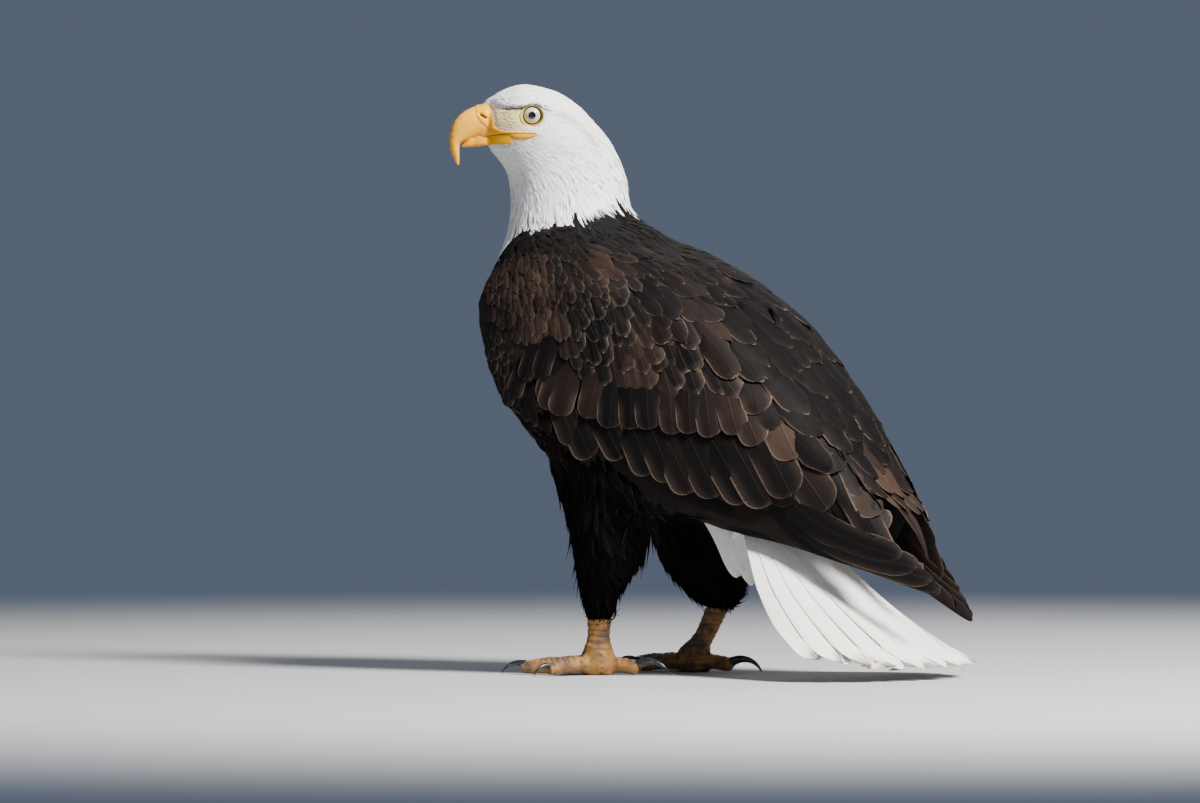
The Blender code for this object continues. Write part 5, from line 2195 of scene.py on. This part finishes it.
# ---------------------------------------------------------------- head
@dataclass
class Bill:
    """Both halves of the bill with their lips, smoothed into one horn each, with a nostril on each side."""

    mouth: "Mouth"
    voxel: float = 0.0006
    back: float = 0.0785  # how far ahead the cere's back lies
    nostril: tuple = (0.0826, 0.5354)
    # each is up and ahead: the upper bill's front edge, the inside of its hook, and the cere's front edge
    culmen: tuple = (
        (0.4880, 0.1068), (0.4903, 0.1082), (0.4923, 0.1098), (0.4987, 0.1128), (0.5052, 0.1144),
        (0.5123, 0.1150), (0.5187, 0.1147), (0.5252, 0.1133), (0.5310, 0.1106), (0.5361, 0.1066),
        (0.5406, 0.1013), (0.5451, 0.0930), (0.5485, 0.0846), (0.5500, 0.0785),
    )
    inside: tuple = ((0.4880, 0.1060), (0.4917, 0.1053), (0.4968, 0.1052), (0.5020, 0.1050), (0.5075, 0.1044))
    cere: tuple = (
        (0.5200, 0.0700), (0.5226, 0.0735), (0.5252, 0.0793), (0.5303, 0.0851), (0.5361, 0.0885),
        (0.5432, 0.0896), (0.5500, 0.0900),
    )
    mandible: tuple = ((0.0500, 0.5088), (0.0810, 0.5077), (0.0930, 0.5066), (0.1040, 0.5056))  # ahead and up
    # painted shade: the lower bill's horn is darker than the upper's, where its front catches the key light
    lower_finish: HornFinish = HornFinish(
        "horn_lower_bill", base=(0.86, 0.40, 0.0, 1.0), tip=(0.78, 0.33, 0.0, 1.0),
        cere=(1.0, 0.60, 0.01, 1.0),
    )

    def build(self) -> None:
        """Builds and dresses both halves."""
        for upper, node, name in ((True, "bill_upper", "upper_bill"), (False, "bill_lower", "lower_bill")):
            bodies = [arrays(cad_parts[node].data), *self.mouth.bodies(upper)]
            piece = new_object(name, *joined(bodies))
            face_outwards(piece, 2e-5)
            points, _ = arrays(remeshed(piece, self.voxel, 14).data)
            points = self.profiled(self.smoothed(piece, points)) if upper else self.levelled(points)
            put(piece, points)
            ahead, aside, up = HEAD.local(points)
            slit = self.slit(ahead, aside, up) * upper
            cere = ramp(0.0008, -0.0008, ahead - table(self.cere, up)) * ramp(0.5205, 0.5235, up) * upper
            put(piece, points + normals_of(piece) * (0.0007 * cere - 0.0032 * slit)[:, None])
            # painted shade: a dark line along the mouth where the lips meet
            mouth_line_shade = hump(up - table(MOUTH_LINE, ahead), 0.0006) * ramp(0.087, 0.083, ahead)
            add_values(piece.data, "cere", np.maximum(cere, 0.8 * ramp(0.078, 0.074, ahead) * upper))
            add_values(piece.data, "low", np.clip((0.547 - up) / 0.058, 0, 1))
            # the dark places are painted shade in the nostril's hollow and along the mouth's line
            add_values(piece.data, "dark", np.maximum(ramp(0.25, 0.7, slit), 0.6 * mouth_line_shade))
            finish = HornFinish(f"horn_{name}") if upper else self.lower_finish
            dress(piece, finish.make(), "bill_horn", node)

    @staticmethod
    def smoothed(piece: Thing, points: Array) -> Array:
        """The upper bill's points, with its sides evened out between the cere and the hook.

        Args:
            piece: the upper bill.
            points: its points.

        Returns:
            The new places.
        """
        ahead, _, up = HEAD.local(points)
        share = ramp(0.062, 0.070, ahead) * ramp(0.102, 0.092, ahead) * ramp(0.521, 0.528, up)
        return evened(piece, points, share, 50)

    def profiled(self, points: Array) -> Array:
        """The upper bill's points, stretched ahead at each height so that its front edge follows the culmen.

        Args:
            points: its points.

        Returns:
            The new places.
        """
        ahead, aside, up = HEAD.local(points)
        levels = np.arange(up.min() + 0.0005, up.max(), 0.001)
        near = [ahead[np.abs(up - level) < 0.0008] for level in levels]
        front = np.interp(up, levels, [some.max() for some in near])
        rear = np.interp(up, levels, [some.min() for some in near])
        hook = ramp(0.5150, 0.5070, up)
        start = self.back + (rear - self.back) * hook
        goal = self.back + (table(self.inside, up) - self.back) * hook
        stretch = (table(self.culmen, up) - goal) / np.maximum(front - start, 0.0015)
        moved = np.where(
            ahead > start,
            goal + (ahead - start) * np.clip(stretch, 0.1, 2.2),
            ahead + (goal - start) * ramp(self.back, self.back + 0.001, ahead),
        )
        moved = np.where(up > 0.5492, ahead, moved)
        slim, fall = 1 - 0.35 * ramp(0.502, 0.488, up), 0.0008 * ramp(0.495, 0.489, up)
        return HEAD.points(moved, aside * slim, up - fall)

    def levelled(self, points: Array) -> Array:
        """The lower bill's points, with an even underside and the top closed up to the upper bill.

        Args:
            points: its points.

        Returns:
            The new places.
        """
        ahead, aside, up = HEAD.local(points)
        line = table(self.mandible, ahead)
        rise = 0.0016 * ramp(0.074, 0.080, ahead) + 0.0018 * ramp(0.088, 0.098, ahead)
        level = np.where(up < line, line + 0.30 * (up - line), up) + rise * ramp(0.0020, 0.0050, up - line)
        return HEAD.points(ahead + 0.0018 * ramp(0.088, 0.102, ahead), aside, level)

    def slit(self, ahead: Array, aside: Array, up: Array) -> Array:
        """The nostril, which slants down to the rear.

        Args:
            ahead: how far ahead the places are.
            aside: how far to the left.
            up: how high.

        Returns:
            1 in the nostril, falling to 0 round it.
        """
        rest, high = ahead - self.nostril[0], up - self.nostril[1]
        along, over = rest * 0.848 + high * 0.530, high * 0.848 - rest * 0.530
        return np.exp(-((along / 0.0043) ** 4)) * hump(over, 0.0011) * (np.abs(aside) > 0.003)


@dataclass
class Eyes:
    """Round eyes with a ring of bare yellow skin."""

    face: BVHTree
    rings: int = 48
    lid_inner: float = 0.0090
    lid_outer: float = 0.0103
    turns: int = 72

    def build(self) -> None:
        """Builds an eye and a lid on each side."""
        for name, axis in EYE_AXES.items():
            self.eyeball(name, middle_of(f"eye_{name}"), axis)
            self.lid(name, middle_of(f"eye_{name}"), axis)

    def eyeball(self, name: str, centre: Array, axis: Array) -> None:
        """A ball with a slight bulge at the front.

        Args:
            name: left or right.
            centre: its middle.
            axis: where it looks.
        """
        piece = new_object(f"eyeball_{name}", [], [])
        turn = Vector((0, 0, 1)).rotation_difference(Vector(axis)).to_matrix()
        with edited(piece) as shell:
            bmesh.ops.create_uvsphere(shell, u_segments=self.rings, v_segments=self.rings // 2, radius=1.0)
            for vertex in shell.verts:
                size = EYE_BALL * (1 + 0.15 * max(0.0, vertex.co.z - 0.70))
                vertex.co = Vector(centre) + turn @ (vertex.co * size)
        piece.data.shade_smooth()
        finish = EyeFinish(f"eye_{name}", tuple(centre.tolist()), tuple(axis.tolist()))
        dress(piece, finish.make(), "eye", f"eye_{name}")

    def lid(self, name: str, centre: Array, axis: Array) -> None:
        """A rolled ring from the ball out over the skin, drawn out a little at its corners.

        Args:
            name: left or right.
            centre: the eye's middle.
            axis: where it looks.
        """
        right = unit(np.cross(axis, (0.0, 0.0, 1.0)))
        turns = np.linspace(0, math.tau, self.turns, endpoint=False)
        rays = np.outer(np.cos(turns), right) + np.outer(np.sin(turns), np.cross(right, axis))
        squeeze = 1 - 0.03 * np.maximum(np.sin(turns), 0)
        wide_ends = 0.0014 * (rays @ HEAD.forward) ** 2
        levels = []
        for ray, size in zip(rays, self.lid_outer * squeeze + wide_ends):
            hit = self.face.ray_cast(Vector(centre + ray * size + axis * 0.05), Vector(-axis), 0.06)[0]
            levels.append(EYE_BALL * 0.5 if hit is None else (np.array(hit) - centre) @ axis)
        levels = np.array(levels)
        for _ in range(4):
            levels = (np.roll(levels, 1) + 2 * levels + np.roll(levels, -1)) / 4
        low = math.sqrt(EYE_BALL**2 - self.lid_inner**2)
        share = np.linspace(0, 1, 9)
        radii = np.outer(squeeze, self.lid_inner + (self.lid_outer - self.lid_inner) * share)
        radii = radii + np.outer(wide_ends, share)
        rises = low + 0.0004 + np.outer(levels + 0.0009 - low, ramp(0, 1, share))
        rises = rises + 0.0005 * np.sin(math.pi * share)
        radii = np.concatenate([radii, radii[:, -1:] + 0.0004, radii[:, :1] - 0.0002], axis=1)
        rises = np.concatenate([rises, levels[:, None] - 0.0030, 0 * rises[:, :1] + low - 0.0030], axis=1)
        grid = centre + rays[:, None] * radii[..., None] + axis * rises[..., None]
        around, wide, _ = grid.shape
        number = np.arange(around * wide).reshape(around, wide)
        further = np.roll(number, -1, axis=0)
        corners = (number, further, np.roll(further, -1, axis=1), np.roll(number, -1, axis=1))
        faces = np.stack(corners, axis=-1)
        piece = new_object(f"eye_ring_{name}", grid.reshape(-1, 3), faces.reshape(-1, 4).tolist())
        rim = ramp(0.35, 1.0, np.append(share, (1.0, 0.0)))
        add_values(piece.data, "shade", 0.9 * np.outer(ramp(0.25, 0.85, np.sin(turns)), 0.35 + 0.65 * rim))
        face_outwards(piece)
        dress(piece, LidFinish(f"eye_ring_{name}").make(), "foot_skin")


@dataclass(frozen=True)
class Strip:
    """A padded strip of bare skin on the side of the face, between two curves given as ahead and up."""

    upper: tuple
    lower: tuple
    bulge: float
    edges: tuple  # how far its first and last rows stand over the face
    plumb: float = 0.0  # how upright its outer side is made


MOUTH_LINE = ((0.0300, 0.5184), (0.0640, 0.5182), (0.0860, 0.5153), (0.1000, 0.5100))
LIP = Strip(
    ((0.0779, 0.5492), (0.0731, 0.5404), (0.0717, 0.5317), (0.0700, 0.5254), (0.0644, 0.5218),
     (0.0558, 0.5209), (0.0462, 0.5205), (0.0385, 0.5202), (0.0305, 0.5193)),
    ((0.0805, 0.5480), (0.0810, 0.5400), (0.0815, 0.5300), (0.0840, 0.5162), (0.0710, 0.5176),
     (0.0600, 0.5182), (0.0490, 0.5183), (0.0395, 0.5184), (0.0308, 0.5184)),
    0.0005, (0.0, 0.0012),
)
GAPE = Strip(
    ((0.0600, 0.5190), (0.0500, 0.5190), (0.0400, 0.5189), (0.0295, 0.5184)),
    ((0.0580, 0.5150), (0.0485, 0.5129), (0.0400, 0.5137), (0.0300, 0.5168)),
    0.0014, (0.0007, 0.0007),
)
JAW = Strip(
    ((0.0920, 0.5150), (0.0850, 0.5168), (0.0760, 0.5180), (0.0660, 0.5186), (0.0590, 0.5184),
     (0.0540, 0.5140)),
    ((0.0920, 0.5062), (0.0850, 0.5070), (0.0760, 0.5076), (0.0660, 0.5081), (0.0590, 0.5084),
     (0.0550, 0.5086)),
    0.0005, (0.0011, 0.0004), 0.80,
)


@dataclass
class Mouth:
    """The bare yellow skin behind the bill: both lips and the thick fold at the mouth's corner."""

    tree: BVHTree
    rows: int = 44
    columns: int = 11
    thickness: float = 0.0025

    def bodies(self, upper: bool) -> list[tuple[Array, list[tuple]]]:
        """The strips of one half of the bill on both sides, as points and faces."""
        strips = (LIP,) if upper else (GAPE, JAW)
        return [closed_sheet(*self.lay(strip, side)) for strip in strips for side in (1, -1)]

    def lay(self, strip: Strip, side: int) -> tuple[Array, Array]:
        """Lays a strip on the face.

        Args:
            strip: the strip.
            side: 1 for the left of the head and -1 for the right.

        Returns:
            The outer and inner grids.
        """
        share, across = np.linspace(0, 1, self.rows), np.linspace(0, 1, self.columns)
        upper, lower = (spline(edge, share)[:, None] for edge in (strip.upper, strip.lower))
        plane = upper * (1 - across[:, None]) + lower * across[:, None]
        aside = np.empty(plane.shape[:2])
        for index in np.ndindex(*aside.shape):
            start = HEAD.point(plane[index][0], side * 0.08, plane[index][1])
            hit = self.tree.ray_cast(Vector(start), Vector(-side * HEAD.left), 0.08)[0]
            aside[index] = 0.012 if hit is None else abs(HEAD.local(np.array(hit)[None])[1, 0])
        aside = relaxed(aside, 6)
        ends = np.sin(math.pi * np.clip(share, 0.02, 0.98)) ** 0.4
        first, last = strip.edges
        edge = np.interp(share, (0, 0.15, 0.30, 0.55, 1), (0.0, first, first, last, last))[:, None]
        outer = aside + edge + strip.bulge * np.outer(ends, np.sin(math.pi * across) ** 0.6)
        outer = outer + strip.plumb * np.maximum(aside[:, :1] + edge - outer, 0)
        ahead, up = plane.reshape(-1, 2).T
        depths = (outer, aside - self.thickness)
        return tuple(
            HEAD.points(ahead, side * depth.ravel(), up).reshape(*aside.shape, 3) for depth in depths
        )

    @staticmethod
    def covers(points: Array) -> Array:
        """Which places lie under the strips or under the bill.

        Args:
            points: places on the skin.

        Returns:
            True or False for each.
        """
        ahead, aside, up = HEAD.local(points)
        found = (ahead > 0.0790) & ((up < 0.5474) | (ahead > 0.0880))
        share = np.linspace(0, 1, 40)
        for strip in (LIP, GAPE, JAW):
            ring = np.concatenate([spline(strip.upper, share), spline(strip.lower, share)[::-1]])
            inside = np.zeros(len(points), bool)
            for (a, b), (c, d) in zip(ring, np.roll(ring, -1, axis=0)):
                crosses = (b > up) != (d > up)
                inside ^= crosses & (ahead < a + (c - a) * (up - b) / (d - b if d != b else 1.0))
            found |= inside & (np.abs(aside) > 0.006)
        return found


# ---------------------------------------------------------------- feet
@dataclass
class Feet:
    """Scaly feet in one skin for each side, and their claws."""

    voxel: float = 0.0011
    pitch: float = 0.0062  # from one cross plate to the next
    relief: float = 0.0011
    toes: tuple = ("inner", "middle", "outer", "hind")

    def build(self) -> None:
        """Builds both feet and all the claws."""
        finish, horn = ScaleFinish().make(), ClawFinish().make()
        for side in ("left", "right"):
            nodes = [f"shank_{side}"] + [f"toe_{side}_{toe}" for toe in self.toes]
            foot = remeshed(copy_of(f"foot_{side}", *nodes), self.voxel, 5)
            self.scutes(foot, side)
            dress(foot, finish, "foot_skin", *nodes)
            for toe in self.toes:
                claw = copy_of(f"talon_{side}_{toe}", f"claw_{side}_{toe}")
                smooth = claw.modifiers.new("smooth", "SUBSURF")
                smooth.levels = smooth.render_levels = 2
                apply_modifiers(claw)
                claw.data.shade_smooth()
                put(claw, arrays(claw.data)[0])
                dress(claw, horn, "claw_horn", f"claw_{side}_{toe}")

    def scutes(self, foot: Thing, side: str) -> None:
        """Raises the cross plates on the top of the toes and down the front of the shank.

        Args:
            foot: the foot.
            side: left or right.
        """
        points, normals = arrays(foot.data)[0], normals_of(foot)
        level, facing = points[:, 2], normals[:, 2]
        flat = points[:, :2] - middle_of(f"shank_{side}")[:2]
        along, best = np.zeros(len(points)), np.full(len(points), 9.0)
        for toe in self.toes:
            way = unit((middle_of(f"claw_{side}_{toe}") - middle_of(f"shank_{side}"))[:2])
            reach = flat @ way
            off = np.linalg.norm(flat - reach[:, None] * way, axis=1)
            near = (off < best) & (reach > 0.008)
            along[near], best[near] = reach[near], off[near]
        shank = (level > 0.024) | (best > 0.016)
        phase = np.where(shank, level, along) / self.pitch + 0.25 * wobble(points, 0.012, 9)
        crease = np.abs(np.sin(math.pi * phase)) ** 0.45
        top = ramp(0.1, 0.6, np.where(shank, np.abs(normals[:, 0]) + 0.4, facing))
        pads = 0.0002 * wobble(points, 0.002, 4) * ramp(0.0, -0.5, facing)
        height = (self.relief * (crease - 0.6) * top + pads) * (level > 0.0006)
        put(foot, points + normals * height[:, None])
        add_values(foot.data, "crease", (1 - crease) * top)


# ---------------------------------------------------------------- setting
def seen_from(azimuth: float, height: float) -> Vector:
    """The direction from the bird to what stands at an azimuth and an angle over the floor, in degrees."""
    turn, tilt = math.radians(azimuth), math.radians(height)
    return Vector((math.sin(turn) * math.cos(tilt), -math.cos(turn) * math.cos(tilt), math.sin(tilt)))


@dataclass
class Studio:
    """A pale floor, soft lights and the camera."""

    azimuth: float = 28.0
    elevation: float = 1.0
    distance: float = 12.0
    span: float = 1.1538  # width of the view at the bird
    sensor: float = 36.0
    aim: tuple = (-0.0385, 0.261)  # to the view's right of the feet, and up
    feet: float = -0.0833  # x of the middle between the feet
    floor: float = 6.0  # from the middle to an edge
    sky: tuple = (0.098, 0.122, 0.172, 1.0)
    # name, azimuth, height, distance, size, power, colour
    lights: tuple = (
        ("key", 70, 46, 3.0, 0.8, 330, (1.0, 0.975, 0.94)), ("fill", 10, 8, 3.2, 2.4, 5, (0.80, 0.90, 1.0)),
        ("top", 10, 82, 2.6, 2.2, 9, (1.0, 0.99, 0.97)), ("rim", 190, 35, 3.0, 1.6, 16, (1.0, 0.98, 0.95)),
    )

    def build(self) -> None:
        """Builds everything that isn't the bird."""
        corners = [(x * self.floor, y * self.floor, -0.0004) for x, y in ((-1, -1), (1, -1), (1, 1), (-1, 1))]
        floor = new_object("floor", corners, [(0, 1, 2, 3)])
        floor.data.materials.append(FloorFinish().make())
        world = bpy.data.worlds.new("studio")
        world.use_nodes = True
        background = world.node_tree.nodes["Background"].inputs
        background["Color"].default_value, background["Strength"].default_value = self.sky, 1.0
        bpy.context.scene.world = world
        for name, azimuth, height, distance, size, power, colour in self.lights:
            lamp = bpy.data.lights.new(name, "AREA")
            lamp.size, lamp.energy, lamp.color = size, power, colour
            self.place(name, lamp, Vector((0, 0, 0.28)), seen_from(azimuth, height), distance)
        turn = math.radians(self.azimuth)
        target = Vector((self.feet + math.cos(turn) * self.aim[0], math.sin(turn) * self.aim[0], self.aim[1]))
        lens = bpy.data.cameras.new("camera")
        lens.sensor_width, lens.lens = self.sensor, self.sensor * self.distance / self.span
        away = seen_from(self.azimuth, self.elevation)
        bpy.context.scene.camera = self.place("camera", lens, target, away, self.distance)

    @staticmethod
    def place(name: str, data: bpy.types.ID, target: Vector, away: Vector, distance: float) -> Thing:
        """Sets a light or the camera so that it points at a target.

        Args:
            name: its name.
            data: the light or the camera.
            target: what it points at.
            away: the direction from the target to it.
            distance: how far away it stands.

        Returns:
            The light or camera in the scene.
        """
        made = bpy.data.objects.new(name, data)
        made.location = target + away * distance
        made.rotation_euler = away.to_track_quat("Z", "Y").to_euler()
        bpy.context.scene.collection.objects.link(made)
        return made


def main() -> None:
    """Builds the bird and its setting in order."""
    logging.basicConfig(level=logging.INFO, format="%(name)s: %(message)s")
    Studio().build()
    skin = Skin()
    skin.build()
    long_feathers = [Wing("left", -1).build(), Wing("right", 1).build()]
    mouth = Mouth(tree_of(skin.body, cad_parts["bill_upper"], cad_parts["bill_lower"]))
    coat = Coat(skin, CoatTree(), tree_of(*long_feathers), mouth)
    coat.build()
    skin.finish()
    Ridge(coat.roof).build()
    Tail().build()
    Eyes(tree_of(skin.body)).build()
    Bill(mouth).build()
    Feet().build()


if __name__ == "__main__":
    main()
